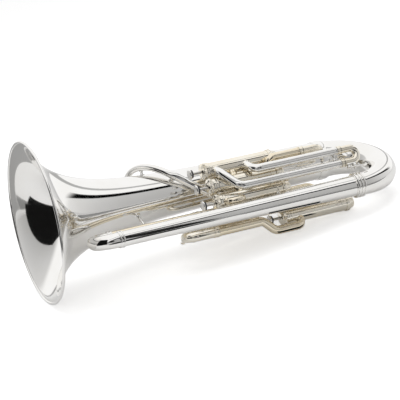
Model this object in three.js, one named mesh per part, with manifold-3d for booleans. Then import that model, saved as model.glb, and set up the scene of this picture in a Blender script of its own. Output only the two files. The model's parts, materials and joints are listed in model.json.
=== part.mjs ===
// Compensating euphonium, three valves on top and one at the side, lying on its side.
// Each tube runs along x from the bell rim towards the bottom bow, in millimetres.
// A place is where a straight tube crosses the y-z plane: y runs from the outer branch to the bell.
import * as THREE from 'three';
import { ConvexHull } from 'three/addons/math/ConvexHull.js';
import { mergeVertices } from 'three/addons/utils/BufferGeometryUtils.js';
import Module from 'manifold-3d';

// Fits
const seatGap = 0.3;
const slideGap = 0.4;
const pistonGap = 0.4;
const tubeWall = 0.9;

// Bell
const bellRimRadius = 150;
const bellThroatRadius = 42;
const bellEndRadius = 36;
const bellLength = 574;
const bellFlareLength = 58;
const bellFlareShare = 0.85;
const bellSpacing = 155;
const rimWireRadius = 2.6;

// Outer branch, bows and inner branch
const branchStartRadius = 13.5;
const branchEndRadius = 20;
const branchTaperShare = 1.8;
const topJointX = 106;
const topBowRadius = 31.6;
const topBowLegLength = 6;
const innerBranchRadius = 11.5;
const innerBranchSetback = 68;
const returnBowRadius = 15.5;
const returnBowLegLength = 3;
const ferruleHalfLength = 9.5;
const ferruleWall = 2;
const ferruleBeadHeight = 1.6;
const topFerruleHalfLength = 5;
const topFerruleWall = 1.3;
const bowCapRadius = 6;
const bowCapHeight = 3;

// Valves
const casingRadius = 14;
const casingWall = 1.2;
const casingLength = 135;
const casingGap = 6;
const capWall = 1.2;
const capLip = 3;
const topCapLength = 15;
const topCapHeadLength = 5;
const bottomSkirtLength = 8;
const bottomCupLength = 12;
const bottomCupRadius = 12;
const pistonLength = 96;
const pistonTopDepth = 22;
const pistonWall = 1.2;
const stemRadius = 2.6;
const stemHoleGap = 0.5;
const valveStroke = 16;
const valveRestGap = 2;
const buttonRadius = 9.5;
const buttonThickness = 5;
const buttonBossRadius = 5;
const buttonBossLength = 1.2;
const topValvesSetback = 272;
const sideValveShift = 130;
const topValvesX = bellLength - topValvesSetback;
const sideValveX = topValvesX + sideValveShift;
const innerBranchEndX = sideValveX - innerBranchSetback;

// Small tubes
const sleeveRadius = 7.5;
const slideLegWall = 0.8;
const slideBowRadius = 7;
const collarRadius = 8.4;
const collarLength = 9;
const sleeveBraceRadius = 2.2;
const linkRadius = 7;
const loopRadius = 5.5;
const mainSleeveRadius = 9;
const mainBowTubeRadius = 9.2;
const mainCollarRadius = 10.4;
const feedRadius = 8;
const stayRadius = 2.8;
const stayFlangeRadius = 6.5;
const stayFlangeHeight = 1.6;

// Slides, along x
const mainFarSleeveLength = 64;
const mainNearSleeveReach = 20;
const mainBowReach = 36;
const mainSleeveStartX = innerBranchEndX - mainFarSleeveLength;
const mainNearSleeveEndX = innerBranchEndX + mainNearSleeveReach;
const mainBowStartX = mainSleeveStartX - mainBowReach;
const mainBowHalfWidth = 18.5;
const mainLegDepth = 52;
const slideOneEndSetback = 46;
const slideOneWidth = 24.1;
const slideOneNearPortDepth = 86;
const slideOneFarPortDepth = 110;
const slideOneEndX = bellLength - slideOneEndSetback;
const slideOneNearPortX = topValvesX + slideOneNearPortDepth;
const slideOneFarPortX = topValvesX + slideOneFarPortDepth;
const slideTwoPortDepth = 126;
const slideTwoFarPortDepth = 118;
const slideTwoSleeveLength = 62;
const slideTwoPortX = topValvesX + slideTwoPortDepth;
const slideTwoFarPortX = topValvesX + slideTwoFarPortDepth;
const slideTwoEndX = slideTwoPortX + slideTwoSleeveLength;
const slideThreeWidth = 25;
const slideThreeArchDepth = 50;
const slideThreeArchLength = 24;
const archReachShare = 1.53;
const slideThreeFarPortDepth = 86;
const slideThreeSleeveLength = 204;
const slideThreeArchX = topValvesX + slideThreeArchDepth;
const slideThreeFarPortX = topValvesX + slideThreeFarPortDepth;
const slideThreeEndX = slideThreeArchX + slideThreeSleeveLength;
const slideFourWidth = 28;
const slideFourNearPortDepth = 38;
const slideFourFarPortDepth = 73;
const slideFourSleeveLength = 170;
const slideFourNearPortX = sideValveX + slideFourNearPortDepth;
const slideFourFarPortX = sideValveX + slideFourFarPortDepth;
const slideFourStartX = slideFourNearPortX - slideFourSleeveLength;
const slideBowLength = 16;
const slideOneLegSpare = 28;
const slideOneLegDepth = slideOneEndX - slideOneFarPortX - slideOneLegSpare;
const slideTwoLegDepth = 40;
const longLegDepth = 110;

// Leadpipe and mouthpiece receiver
const leadpipeStartRadius = 6;
const leadpipeEndRadius = 7.5;
const leadpipeSetback = 102;
const leadpipeStartX = topValvesX - leadpipeSetback;
const leadpipeReach = 90;
const leadpipeClearance = 6;
const leadpipeApproach = 38;
const leadpipePortDepth = 28;
const leadpipePortX = topValvesX + leadpipePortDepth;
const receiverLength = 46;
const receiverSocketLength = 4;
const receiverRadius = 8.2;
const receiverBoreRadius = 5.8;
const receiverLipRadius = 9.6;
const receiverLipLength = 4;

// Links, loops and stays, along x
const valveLinkDepth = 58;
const fourthLinkStartDepth = 93;
const fourthLinkEndDepth = 98;
const valveLinkX = topValvesX + valveLinkDepth;
const fourthLinkStartX = topValvesX + fourthLinkStartDepth;
const fourthLinkEndX = sideValveX + fourthLinkEndDepth;
const feedStraightLength = 6;
const feedShiftLength = 22;
const feedPortDepth = 35;
const feedShiftX = mainNearSleeveEndX + feedStraightLength;
const feedPortX = sideValveX + feedPortDepth;
const loopLength = 28;
const loopReach = 27.5;
const loopOneDepth = 22;
const loopTwoDepth = 43;
const loopThreeDepth = 28;
const loopOneX = topValvesX + loopOneDepth;
const loopTwoX = topValvesX + loopTwoDepth;
const loopThreeX = topValvesX + loopThreeDepth;
const bellStayReach = 74;
const valveStayDepth = 123;
const casingStayDepth = 73;
const bellStayX = topJointX + bellStayReach;
const valveStayX = topValvesX + valveStayDepth;
const casingStayX = topValvesX + casingStayDepth;

// Water keys
const keyArmLength = 21;
const keyPadArmLength = 12;
const keyThickness = 1.8;
const keyWidth = 4.4;
const keyHeight = 6.4;
const keyPadRadius = 4;
const keyPadThickness = 2.2;
const keyNippleRadius = 2.6;
const keyTouchLength = 9;
const keyTouchWidth = 9;
const keyPinRadius = 1;
const keyPinGap = 0.4;
const keyBarrelRadius = 2.4;
const keyEarThickness = 1.6;
const keyEarLength = 4.6;
const keySaddleThickness = 1.4;

// Bend radii of the small tubes
const tightBend = 11;
const smallBend = 12;
const portBend = 14;
const archBend = 18;
const feedBend = 20;

// Facets
const bellSides = 32;
const bowSides = 16;
const tubeSides = 8;
const turnedSides = 12;
const bellRings = 11;
const bellRingShare = 2.2;
const bowSteps = 10;
const bendSteps = 3;
const smallSteps = 5;
const leadpipeSteps = 16;

const wasm = await Module();
wasm.setup();

// Geometry helpers

function weld(geometry) {
  const bare = new THREE.BufferGeometry();
  bare.setAttribute('position', geometry.getAttribute('position').clone());
  if (geometry.index) {
    bare.setIndex(Array.from(geometry.index.array));
  }
  const merged = mergeVertices(bare);
  const kept = [];
  const index = merged.index.array;
  for (let i = 0; i < index.length; i += 3) {
    const [a, b, c] = [index[i], index[i + 1], index[i + 2]];
    if (a !== b && b !== c && c !== a) {
      kept.push(a, b, c);
    }
  }
  merged.setIndex(kept);
  return outward(merged);
}

function signedVolume(geometry) {
  const position = geometry.getAttribute('position');
  const index = geometry.index.array;
  const [a, b, c] = [new THREE.Vector3(), new THREE.Vector3(), new THREE.Vector3()];
  let volume = 0;
  for (let i = 0; i < index.length; i += 3) {
    a.fromBufferAttribute(position, index[i]);
    b.fromBufferAttribute(position, index[i + 1]);
    c.fromBufferAttribute(position, index[i + 2]);
    volume += a.dot(b.cross(c)) / 6;
  }
  return volume;
}

function outward(geometry) {
  if (signedVolume(geometry) < 0) {
    geometry.setIndex(Array.from(geometry.index.array).reverse());
  }
  return geometry;
}

function toSolid(geometry) {
  return new wasm.Manifold(new wasm.Mesh({
    numProp: 3,
    vertProperties: new Float32Array(geometry.getAttribute('position').array),
    triVerts: new Uint32Array(geometry.index.array),
  }));
}

function fromSolid(solid) {
  const mesh = solid.getMesh();
  const geometry = new THREE.BufferGeometry();
  geometry.setAttribute('position', new THREE.BufferAttribute(mesh.vertProperties, 3));
  geometry.setIndex(Array.from(mesh.triVerts));
  return geometry;
}

function join(first, ...others) {
  return fromSolid(others.reduce((sum, next) => sum.add(toSolid(next)), toSolid(first)));
}

function cut(body, ...cutters) {
  return fromSolid(cutters.reduce((rest, next) => rest.subtract(toSolid(next)), toSolid(body)));
}

// The corner radius of a faceted bore that clears a round piece by the seat gap.
function clearOf(radius, sides) {
  return (radius + seatGap) / Math.cos(Math.PI / sides);
}

// A turned piece about the x axis from a closed profile of [x, radius] points.
function turned(profile, sides = turnedSides) {
  const points = profile.map(([x, radius]) => new THREE.Vector2(radius, x));
  points.push(points[0].clone());
  const lathe = new THREE.LatheGeometry(points, sides);
  lathe.rotateZ(-Math.PI / 2);
  return weld(lathe);
}

function rod(radius, startX, endX, sides = turnedSides) {
  return turned([[startX, 0], [startX, radius], [endX, radius], [endX, 0]], sides);
}

function along(geometry, place, x = 0) {
  return geometry.translate(x, place[0], place[1]);
}

function box(length, width, height) {
  return weld(new THREE.BoxGeometry(length, width, height));
}

// Turns a piece made along x so that it runs from one point towards another.
function aimed(geometry, from, to) {
  const direction = to.clone().sub(from).normalize();
  const turn = new THREE.Quaternion().setFromUnitVectors(new THREE.Vector3(1, 0, 0), direction);
  return geometry.applyQuaternion(turn).translate(from.x, from.y, from.z);
}

// Places in the y-z plane

function beside(place, degrees, distance) {
  const angle = THREE.MathUtils.degToRad(degrees);
  return [place[0] + distance * Math.cos(angle), place[1] + distance * Math.sin(angle)];
}

function apart(first, second) {
  return Math.hypot(second[0] - first[0], second[1] - first[1]);
}

function at(x, place) {
  return new THREE.Vector3(x, place[0], place[1]);
}

// Tubes

// Straight runs between corner points, with a round bend at each corner.
function route(corners, bends, steps = bendSteps) {
  const stations = [];
  const first = corners[0];
  const last = corners[corners.length - 1];
  stations.push({ point: first, tangent: corners[1].clone().sub(first).normalize() });
  for (let i = 1; i < corners.length - 1; i += 1) {
    const inward = corners[i].clone().sub(corners[i - 1]).normalize();
    const away = corners[i + 1].clone().sub(corners[i]).normalize();
    const turn = inward.angleTo(away);
    const reach = bends[i - 1] * Math.tan(turn / 2);
    const side = away.clone().addScaledVector(inward, -away.dot(inward)).normalize();
    const start = corners[i].clone().addScaledVector(inward, -reach);
    for (let step = 0; step <= steps; step += 1) {
      const angle = turn * step / steps;
      const point = start.clone()
        .addScaledVector(inward, bends[i - 1] * Math.sin(angle))
        .addScaledVector(side, bends[i - 1] * (1 - Math.cos(angle)));
      const tangent = inward.clone().multiplyScalar(Math.cos(angle))
        .addScaledVector(side, Math.sin(angle));
      stations.push({ point, tangent });
    }
  }
  const beforeLast = corners[corners.length - 2];
  stations.push({ point: last, tangent: last.clone().sub(beforeLast).normalize() });
  return measured(stations);
}

function curved(curve, steps) {
  const stations = [];
  for (let step = 0; step <= steps; step += 1) {
    stations.push({ point: curve.getPointAt(step / steps), tangent: curve.getTangentAt(step / steps) });
  }
  return measured(stations);
}

function measured(stations) {
  const kept = [];
  let distance = 0;
  for (const station of stations) {
    const before = kept[kept.length - 1];
    const step = before ? station.point.distanceTo(before.point) : 0;
    if (!before || step > seatGap / 10) {
      distance += step;
      kept.push({ ...station, distance });
    }
  }
  return kept;
}

function stationAt(path, distance) {
  const known = path.find((station) => Math.abs(station.distance - distance) < seatGap / 10);
  if (known) {
    return known;
  }
  const next = path.findIndex((station) => station.distance > distance);
  const [a, b] = [path[next - 1], path[next]];
  const share = (distance - a.distance) / (b.distance - a.distance);
  return {
    point: a.point.clone().lerp(b.point, share),
    tangent: a.tangent.clone().lerp(b.tangent, share).normalize(),
    distance,
  };
}

function pathLength(path) {
  return path[path.length - 1].distance;
}

function radiusIn(profile, distance) {
  for (let i = 1; i < profile.length; i += 1) {
    const [[fromX, fromRadius], [toX, toRadius]] = [profile[i - 1], profile[i]];
    if (distance <= toX && toX > fromX) {
      return fromRadius + (toRadius - fromRadius) * (distance - fromX) / (toX - fromX);
    }
  }
  return profile[profile.length - 1][1];
}

// The stations of the path and the steps of the profile, in order, each with its radius.
function ringsOf(path, profile) {
  const steps = profile.map(([distance, radius]) => ({ ...stationAt(path, distance), radius }));
  const between = path
    .filter((station) => !profile.some(([distance]) => Math.abs(distance - station.distance) < seatGap / 10))
    .map((station) => ({ ...station, radius: radiusIn(profile, station.distance) }));
  return [...steps, ...between]
    .map((ring, order) => ({ ...ring, order }))
    .sort((a, b) => a.distance - b.distance || a.order - b.order);
}

function skinPoints(rings, frames, sides) {
  const positions = [];
  for (const ring of rings) {
    const { normal, binormal } = frames(ring);
    for (let side = 0; side < sides; side += 1) {
      const angle = 2 * Math.PI * side / sides;
      const point = ring.point.clone()
        .addScaledVector(normal, ring.radius * Math.cos(angle))
        .addScaledVector(binormal, ring.radius * Math.sin(angle));
      positions.push(point.x, point.y, point.z);
    }
  }
  return positions;
}

// A hollow tube along a path. The outer profile is a list of [distance, radius] steps, and
// a corner of its section starts on the side that the hint points to.
function tube(path, outerProfile, innerProfile, sides = tubeSides, hint = null) {
  const outer = ringsOf(path, outerProfile);
  const inner = ringsOf(path, innerProfile);
  const frames = carriedFrames([...outer, ...inner], hint);
  const positions = [...skinPoints(outer, frames, sides), ...skinPoints(inner, frames, sides)];
  const index = [];
  const band = (first, second) => {
    for (let side = 0; side < sides; side += 1) {
      const next = (side + 1) % sides;
      const [a, b, c, d] = [first + side, first + next, second + side, second + next];
      index.push(a, b, c, b, d, c);
    }
  };
  const innerStart = outer.length * sides;
  for (let i = 0; i < outer.length - 1; i += 1) {
    band(i * sides, (i + 1) * sides);
  }
  for (let i = 0; i < inner.length - 1; i += 1) {
    band(innerStart + (i + 1) * sides, innerStart + i * sides);
  }
  band(innerStart, 0);
  band((outer.length - 1) * sides, innerStart + (inner.length - 1) * sides);
  const geometry = new THREE.BufferGeometry();
  geometry.setAttribute('position', new THREE.Float32BufferAttribute(positions, 3));
  geometry.setIndex(index);
  return outward(geometry);
}

// Frames carried along the path without twist, found for any ring by its distance.
function carriedFrames(rings, hint) {
  const ordered = [...rings].sort((a, b) => a.distance - b.distance);
  const start = ordered[0].tangent;
  const usual = Math.abs(start.z) < 0.9 ? new THREE.Vector3(0, 0, 1) : new THREE.Vector3(0, 1, 0);
  const helper = hint ?? usual;
  const normal = helper.clone().addScaledVector(start, -helper.dot(start)).normalize();
  const found = new Map();
  let before = start;
  for (const ring of ordered) {
    const turn = new THREE.Quaternion().setFromUnitVectors(before, ring.tangent);
    normal.applyQuaternion(turn);
    normal.addScaledVector(ring.tangent, -normal.dot(ring.tangent)).normalize();
    const binormal = ring.tangent.clone().cross(normal);
    found.set(ring.distance, { normal: normal.clone(), binormal });
    before = ring.tangent;
  }
  return (ring) => found.get(ring.distance);
}

function evenTube(path, radius, sides = tubeSides, hint = null) {
  const end = pathLength(path);
  const inner = radius - tubeWall;
  return tube(path, [[0, radius], [end, radius]], [[0, inner], [end, inner]], sides, hint);
}

function straight(from, to) {
  return route([from, to], []);
}

// Shapes of the long tapering pieces

function bellRadiusAt(x) {
  const cone = bellThroatRadius + (bellEndRadius - bellThroatRadius) * x / bellLength;
  const edge = bellRimRadius - 2 * rimWireRadius - seatGap;
  const reach = Math.max(x - rimWireRadius, 0) / bellFlareLength;
  return cone + (edge - bellThroatRadius) * Math.exp(-(reach ** bellFlareShare));
}

function branchRadiusAt(x) {
  const share = Math.max(x - topJointX, 0) / (bellLength - topJointX);
  return branchStartRadius + (branchEndRadius - branchStartRadius) * share ** branchTaperShare;
}

// Places of the straight tubes and valves

const outerPlace = [0, 0];
const bellPlace = [bellSpacing, 0];
const branchTilt = -18.4;
const valveRowTilt = 40.2;
const valvePitch = 2 * casingRadius + casingGap;
const casingToSleeve = casingRadius + sleeveRadius;
const firstValveClearance = 11.3;
const innerPlace = beside(outerPlace, branchTilt, 2 * topBowRadius);
const firstValveDistance = branchRadiusAt(topValvesX) + casingRadius + firstValveClearance;
const valveOnePlace = beside(outerPlace, 14, firstValveDistance);
const valveTwoPlace = beside(valveOnePlace, valveRowTilt, valvePitch);
const valveThreePlace = beside(valveTwoPlace, valveRowTilt, valvePitch);
const mainFarPlace = beside(innerPlace, -90, 2 * returnBowRadius);
const mainNearPlace = beside(mainFarPlace, 161, 2 * mainBowHalfWidth);
const sideValveDrop = 29;
const valveFourPlace = beside(valveOnePlace, -90, 2 * casingRadius + sideValveDrop);
const slideThreeClearance = 7.3;
const slideThreeNear = beside(valveOnePlace, 110.3, casingToSleeve + slideThreeClearance);
const slideThreeFar = beside(slideThreeNear, 53, slideThreeWidth);
const slideTwoClearance = 9.5;
const slideTwoNear = beside(valveTwoPlace, 86, casingToSleeve + slideTwoClearance);
const slideTwoFar = beside(valveThreePlace, -50, casingToSleeve + slideTwoClearance);
const slideOneClearance = 9.1;
const slideOneNear = beside(valveOnePlace, -101, casingToSleeve + slideOneClearance);
const slideOneFar = beside(slideOneNear, 5, slideOneWidth);
const slideFourClearance = 11;
const slideFourNear = beside(innerPlace, -37, innerBranchRadius + sleeveRadius + slideFourClearance);
const slideFourFar = beside(slideFourNear, 0, slideFourWidth);
const slideOnePlaces = [slideOneNear, slideOneFar];
const slideTwoPlaces = [slideTwoNear, slideTwoFar];
const slideThreePlaces = [slideThreeNear, slideThreeFar];
const slideFourPlaces = [slideFourNear, slideFourFar];
const mainPlaces = [mainNearPlace, mainFarPlace];
const fourthLinkDrop = 62;
const fourthLinkPlace = beside(valveThreePlace, -87, casingRadius + fourthLinkDrop);
const feedPlace = beside(valveFourPlace, 209, casingRadius + feedRadius + seatGap + feedBend / 6);

const silver = { color: 0xe9e6e0, roughness: 0.12, metalness: 1 };
const warmSilver = { color: 0xe6dccb, roughness: 0.16, metalness: 1 };
const steel = { color: 0xcfd2d4, roughness: 0.22, metalness: 1 };

const instrument = new THREE.Group();

function add(name, geometry, finish = silver, parent = instrument) {
  const mesh = new THREE.Mesh(geometry, new THREE.MeshStandardMaterial(finish));
  mesh.name = name;
  parent.add(mesh);
  return mesh;
}

function casingCutter(place, startX) {
  return along(rod(casingRadius + seatGap, 0, casingLength), place, startX + capLip);
}

// Bell

function bellOuterProfile(offset) {
  const points = [];
  for (let i = 0; i <= bellRings; i += 1) {
    const share = (i / bellRings) ** bellRingShare;
    const x = rimWireRadius + (bellLength - rimWireRadius) * share;
    points.push([x, bellRadiusAt(x) + offset]);
  }
  return points;
}

function bellBody() {
  const outer = bellOuterProfile(0);
  const inner = bellOuterProfile(-tubeWall).reverse();
  return along(turned([...outer, ...inner], bellSides), bellPlace);
}

function bellCutter() {
  const outer = bellOuterProfile(seatGap);
  const [startX, endX] = [outer[0][0], outer[outer.length - 1][0]];
  return along(turned([[startX, 0], ...outer, [endX, 0]], bellSides), bellPlace);
}

function rimWire() {
  const sides = 8;
  const points = [];
  for (let i = 0; i < sides; i += 1) {
    const angle = 2 * Math.PI * (i + 0.5) / sides;
    const reach = rimWireRadius / Math.cos(Math.PI / sides);
    const x = rimWireRadius + reach * Math.cos(angle);
    points.push([x, bellRimRadius - rimWireRadius + reach * Math.sin(angle)]);
  }
  return along(turned(points, bellSides), bellPlace);
}

add('bell', bellBody());
add('bell_rim_wire', rimWire());

// Bottom bow

function bottomBow() {
  const startX = bellLength + seatGap;
  const turnX = bellLength + ferruleHalfLength;
  const half = bellSpacing / 2;
  const corners = [
    at(startX, outerPlace),
    at(turnX + half, outerPlace),
    at(turnX + half, bellPlace),
    at(startX, bellPlace),
  ];
  const path = route(corners, [half, half], bowSteps / 2);
  const end = pathLength(path);
  const outer = [[0, branchEndRadius], [end, bellEndRadius]];
  const inner = outer.map(([distance, radius]) => [distance, radius - tubeWall]);
  return tube(path, outer, inner, bowSides);
}

function beadedFerrule(radius, centreX) {
  const inner = clearOf(radius, bowSides);
  const outer = inner + ferruleWall;
  const bead = outer + ferruleBeadHeight;
  const beadHalf = ferruleHalfLength / 7;
  const profile = [[centreX - ferruleHalfLength, inner], [centreX - ferruleHalfLength, outer]];
  for (const share of [-0.7, 0, 0.7]) {
    const middle = centreX + share * ferruleHalfLength;
    profile.push([middle - beadHalf, outer], [middle, bead], [middle + beadHalf, outer]);
  }
  profile.push([centreX + ferruleHalfLength, outer], [centreX + ferruleHalfLength, inner]);
  return turned(profile, bowSides);
}

function plainRing(inner, outer, startX, endX, sides = turnedSides) {
  return turned([[startX, inner], [startX, outer], [endX, outer], [endX, inner]], sides);
}

add('bottom_bow', bottomBow());
add('bow_ferrule_branch', along(beadedFerrule(branchEndRadius, bellLength), outerPlace));
const bellFerruleRadius = bellRadiusAt(bellLength - ferruleHalfLength);
const bellFerruleBore = clearOf(bellFerruleRadius, bellSides);
add('bow_ferrule_bell', along(plainRing(
  bellFerruleBore, bellFerruleBore + ferruleWall,
  bellLength - ferruleHalfLength, bellLength + ferruleHalfLength, bellSides), bellPlace));

// A small round rest on the outside of the bottom bow.
function bowCap() {
  const place = [bellSpacing / 2, 0];
  const middleRadius = (branchEndRadius + bellEndRadius) / 2;
  const startX = bellLength + ferruleHalfLength + bellSpacing / 2 + middleRadius;
  const cap = along(rod(bowCapRadius, startX - bowCapHeight, startX + bowCapHeight), place);
  const radiusHere = middleRadius + seatGap;
  const from = at(startX - middleRadius, beside(place, 180, bellSpacing / 4));
  const to = at(startX - middleRadius, beside(place, 0, bellSpacing / 4));
  return cut(cap, aimed(rod(radiusHere, 0, from.distanceTo(to), bowSides), from, to));
}

add('bow_cap', bowCap());

// Outer branch, top bow and inner branch

function outerBranch() {
  const path = straight(at(topJointX + seatGap, outerPlace), at(bellLength, outerPlace));
  const end = pathLength(path);
  const outer = [];
  const steps = smallSteps;
  for (let i = 0; i <= steps; i += 1) {
    outer.push([end * i / steps, branchRadiusAt(topJointX + end * i / steps)]);
  }
  const inner = outer.map(([distance, radius]) => [distance, radius - tubeWall]);
  return tube(path, outer, inner, bowSides);
}

function topBow() {
  const turnX = topJointX - topBowLegLength - topBowRadius;
  const corners = [
    at(topJointX - seatGap, outerPlace),
    at(turnX, outerPlace),
    at(turnX, innerPlace),
    at(topJointX - seatGap, innerPlace),
  ];
  const path = route(corners, [topBowRadius, topBowRadius], bowSteps / 2);
  const end = pathLength(path);
  const outer = [[0, branchStartRadius], [end, innerBranchRadius]];
  const inner = outer.map(([distance, radius]) => [distance, radius - tubeWall]);
  return tube(path, outer, inner, turnedSides);
}

function topFerrule(radius) {
  const inner = clearOf(radius, turnedSides);
  const outer = inner + topFerruleWall;
  return plainRing(inner, outer, topJointX - topFerruleHalfLength, topJointX + topFerruleHalfLength);
}

function innerBranch() {
  const path = straight(at(topJointX + seatGap, innerPlace), at(innerBranchEndX, innerPlace));
  return evenTube(path, innerBranchRadius, turnedSides);
}

function returnBow() {
  const startX = innerBranchEndX + seatGap;
  const turnX = startX + returnBowLegLength + returnBowRadius;
  const corners = [
    at(startX, innerPlace),
    at(turnX, innerPlace),
    at(turnX, mainFarPlace),
    at(startX, mainFarPlace),
  ];
  const path = route(corners, [returnBowRadius, returnBowRadius]);
  const end = pathLength(path);
  const outer = [[0, innerBranchRadius], [end, mainSleeveRadius]];
  const inner = outer.map(([distance, radius]) => [distance, radius - tubeWall]);
  return tube(path, outer, inner, turnedSides);
}

add('outer_branch', outerBranch());
add('top_bow', topBow());
add('top_ferrule_outer', along(topFerrule(branchStartRadius), outerPlace));
add('top_ferrule_inner', along(topFerrule(innerBranchRadius), innerPlace));
add('inner_branch', innerBranch(), warmSilver);
add('return_bow', returnBow(), warmSilver);

// Valves. In a valve's own group x is measured from the top face of its top cap.

const capInnerRadius = casingRadius + seatGap;
const capRadius = capInnerRadius + capWall;
const buttonX = -valveStroke - valveRestGap;

function topCap() {
  const hole = stemRadius + stemHoleGap;
  const neck = bottomCupRadius;
  return turned([
    [0, hole],
    [0, neck],
    [topCapHeadLength - capLip, neck],
    [topCapHeadLength - capLip, capRadius],
    [topCapLength, capRadius],
    [topCapLength, capInnerRadius],
    [capLip - seatGap, capInnerRadius],
    [capLip - seatGap, hole],
  ]);
}

function bottomCap() {
  const skirtStart = capLip + casingLength - bottomSkirtLength / 2;
  const plateStart = capLip + casingLength + seatGap;
  const plateEnd = plateStart + capLip;
  return turned([
    [skirtStart, capInnerRadius],
    [skirtStart, capRadius],
    [plateEnd, capRadius],
    [plateEnd, bottomCupRadius],
    [plateEnd + bottomCupLength - capLip / 2, bottomCupRadius],
    [plateEnd + bottomCupLength, bottomCupRadius - capLip / 2],
    [plateEnd + bottomCupLength, 0],
    [plateStart, 0],
    [plateStart, capInnerRadius],
  ]);
}

function piston() {
  const radius = casingRadius - casingWall - pistonGap;
  const end = pistonTopDepth + pistonLength;
  return turned([
    [buttonX + seatGap, 0],
    [buttonX + seatGap, stemRadius],
    [pistonTopDepth, stemRadius],
    [pistonTopDepth, radius],
    [end, radius],
    [end, radius - pistonWall],
    [pistonTopDepth + pistonWall, radius - pistonWall],
    [pistonTopDepth + pistonWall, 0],
  ]);
}

function button() {
  const face = buttonX - buttonThickness;
  const dish = buttonThickness / 5;
  return turned([
    [face, 0],
    [face, buttonRadius - dish],
    [face + dish, buttonRadius],
    [buttonX - buttonBossLength, buttonRadius],
    [buttonX - buttonBossLength, buttonBossRadius],
    [buttonX, buttonBossRadius],
    [buttonX, 0],
  ]);
}

function addValve(number, place, x) {
  const valve = new THREE.Group();
  valve.position.copy(at(x, place));
  const casing = plainRing(casingRadius - casingWall, casingRadius, capLip, capLip + casingLength);
  add(`valve_${number}_casing`, casing, silver, valve);
  add(`valve_${number}_top_cap`, topCap(), silver, valve);
  add(`valve_${number}_bottom_cap`, bottomCap(), silver, valve);
  add(`valve_${number}_piston`, piston(), steel, valve);
  add(`valve_${number}_button`, button(), silver, valve);
  instrument.add(valve);
}

const valves = [
  { place: valveOnePlace, x: topValvesX },
  { place: valveTwoPlace, x: topValvesX },
  { place: valveThreePlace, x: topValvesX },
  { place: valveFourPlace, x: sideValveX },
];
valves.forEach(({ place, x }, i) => addValve(i + 1, place, x));

function seated(geometry, ...which) {
  return cut(geometry, ...which.map((i) => casingCutter(valves[i].place, valves[i].x)));
}

// Short tubes between neighbouring valves, and the long one to the side valve

function valveLink(first, second) {
  const path = straight(at(valveLinkX, valves[first].place), at(valveLinkX, valves[second].place));
  return seated(evenTube(path, linkRadius), first, second);
}

function sideValveLink() {
  const corners = [
    at(fourthLinkStartX, valveThreePlace),
    at(fourthLinkStartX, fourthLinkPlace),
    at(fourthLinkEndX, fourthLinkPlace),
    at(fourthLinkEndX, valveFourPlace),
  ];
  return seated(evenTube(route(corners, [portBend, portBend]), linkRadius), 2, 3);
}

add('valve_link_1_2', valveLink(0, 1), warmSilver);
add('valve_link_2_3', valveLink(1, 2), warmSilver);
add('valve_link_3_4', sideValveLink(), warmSilver);

// Compensating loops, each from its valve and back to it

function compensatingLoop(valve, degrees, x) {
  const { place } = valves[valve];
  const far = beside(place, degrees, loopReach);
  const corners = [at(x, place), at(x, far), at(x + loopLength, far), at(x + loopLength, place)];
  return seated(evenTube(route(corners, [smallBend, smallBend]), loopRadius), valve);
}

add('compensating_loop_1', compensatingLoop(0, 160, loopOneX), warmSilver);
add('compensating_loop_2', compensatingLoop(1, -55, loopTwoX), warmSilver);
add('compensating_loop_3', compensatingLoop(2, -20, loopThreeX), warmSilver);

// Slide sleeves: a pair of tubes from a valve's ports, held together by a brace

function across(places) {
  return at(0, places[1]).sub(at(0, places[0])).normalize();
}

function sleeve(corners, bends, places, radius = sleeveRadius) {
  return evenTube(route(corners, bends), radius, tubeSides, across(places));
}

function braced(first, second, x, places, radius = sleeveRadius) {
  const [from, to] = places.map((place) => at(x, place));
  const bar = aimed(rod(sleeveBraceRadius, 0, from.distanceTo(to), tubeSides), from, to);
  const bores = places.map((place) => {
    const half = sleeveBraceRadius * 2;
    return along(rod(radius - tubeWall / 2, -half, half, tubeSides), place, x);
  });
  return join(first, second, cut(bar, ...bores));
}

function slideOneSleeves() {
  const near = sleeve([
    at(slideOneEndX, slideOneNear),
    at(slideOneNearPortX, slideOneNear),
    at(slideOneNearPortX, valveOnePlace),
  ], [tightBend], slideOnePlaces);
  const far = sleeve([
    at(slideOneEndX, slideOneFar),
    at(slideOneFarPortX, slideOneFar),
    at(slideOneFarPortX, valveOnePlace),
  ], [portBend], slideOnePlaces);
  const pair = braced(near, far, slideOneEndX - collarLength, slideOnePlaces);
  return seated(pair, 0);
}

function slideTwoSleeves() {
  const near = sleeve([
    at(slideTwoEndX, slideTwoNear),
    at(slideTwoPortX, slideTwoNear),
    at(slideTwoPortX, valveTwoPlace),
  ], [smallBend], slideTwoPlaces);
  const far = sleeve([
    at(slideTwoEndX, slideTwoFar),
    at(slideTwoFarPortX, slideTwoFar),
    at(slideTwoFarPortX, valveTwoPlace),
  ], [portBend], slideTwoPlaces);
  const pair = braced(near, far, slideTwoEndX - collarLength, slideTwoPlaces);
  return seated(pair, 1);
}

function slideThreeSleeves() {
  const archPlace = beside(slideThreeNear, 33.3, slideThreeWidth * archReachShare);
  const near = sleeve([
    at(slideThreeEndX, slideThreeNear),
    at(slideThreeArchX, slideThreeNear),
    at(slideThreeArchX - slideThreeArchLength, archPlace),
    at(slideThreeArchX - slideThreeArchLength, valveThreePlace),
  ], [archBend, portBend], slideThreePlaces);
  const far = sleeve([
    at(slideThreeEndX, slideThreeFar),
    at(slideThreeFarPortX, slideThreeFar),
    at(slideThreeFarPortX, valveThreePlace),
  ], [portBend], slideThreePlaces);
  const pair = braced(near, far, slideThreeEndX - collarLength, slideThreePlaces);
  return seated(pair, 2);
}

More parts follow.
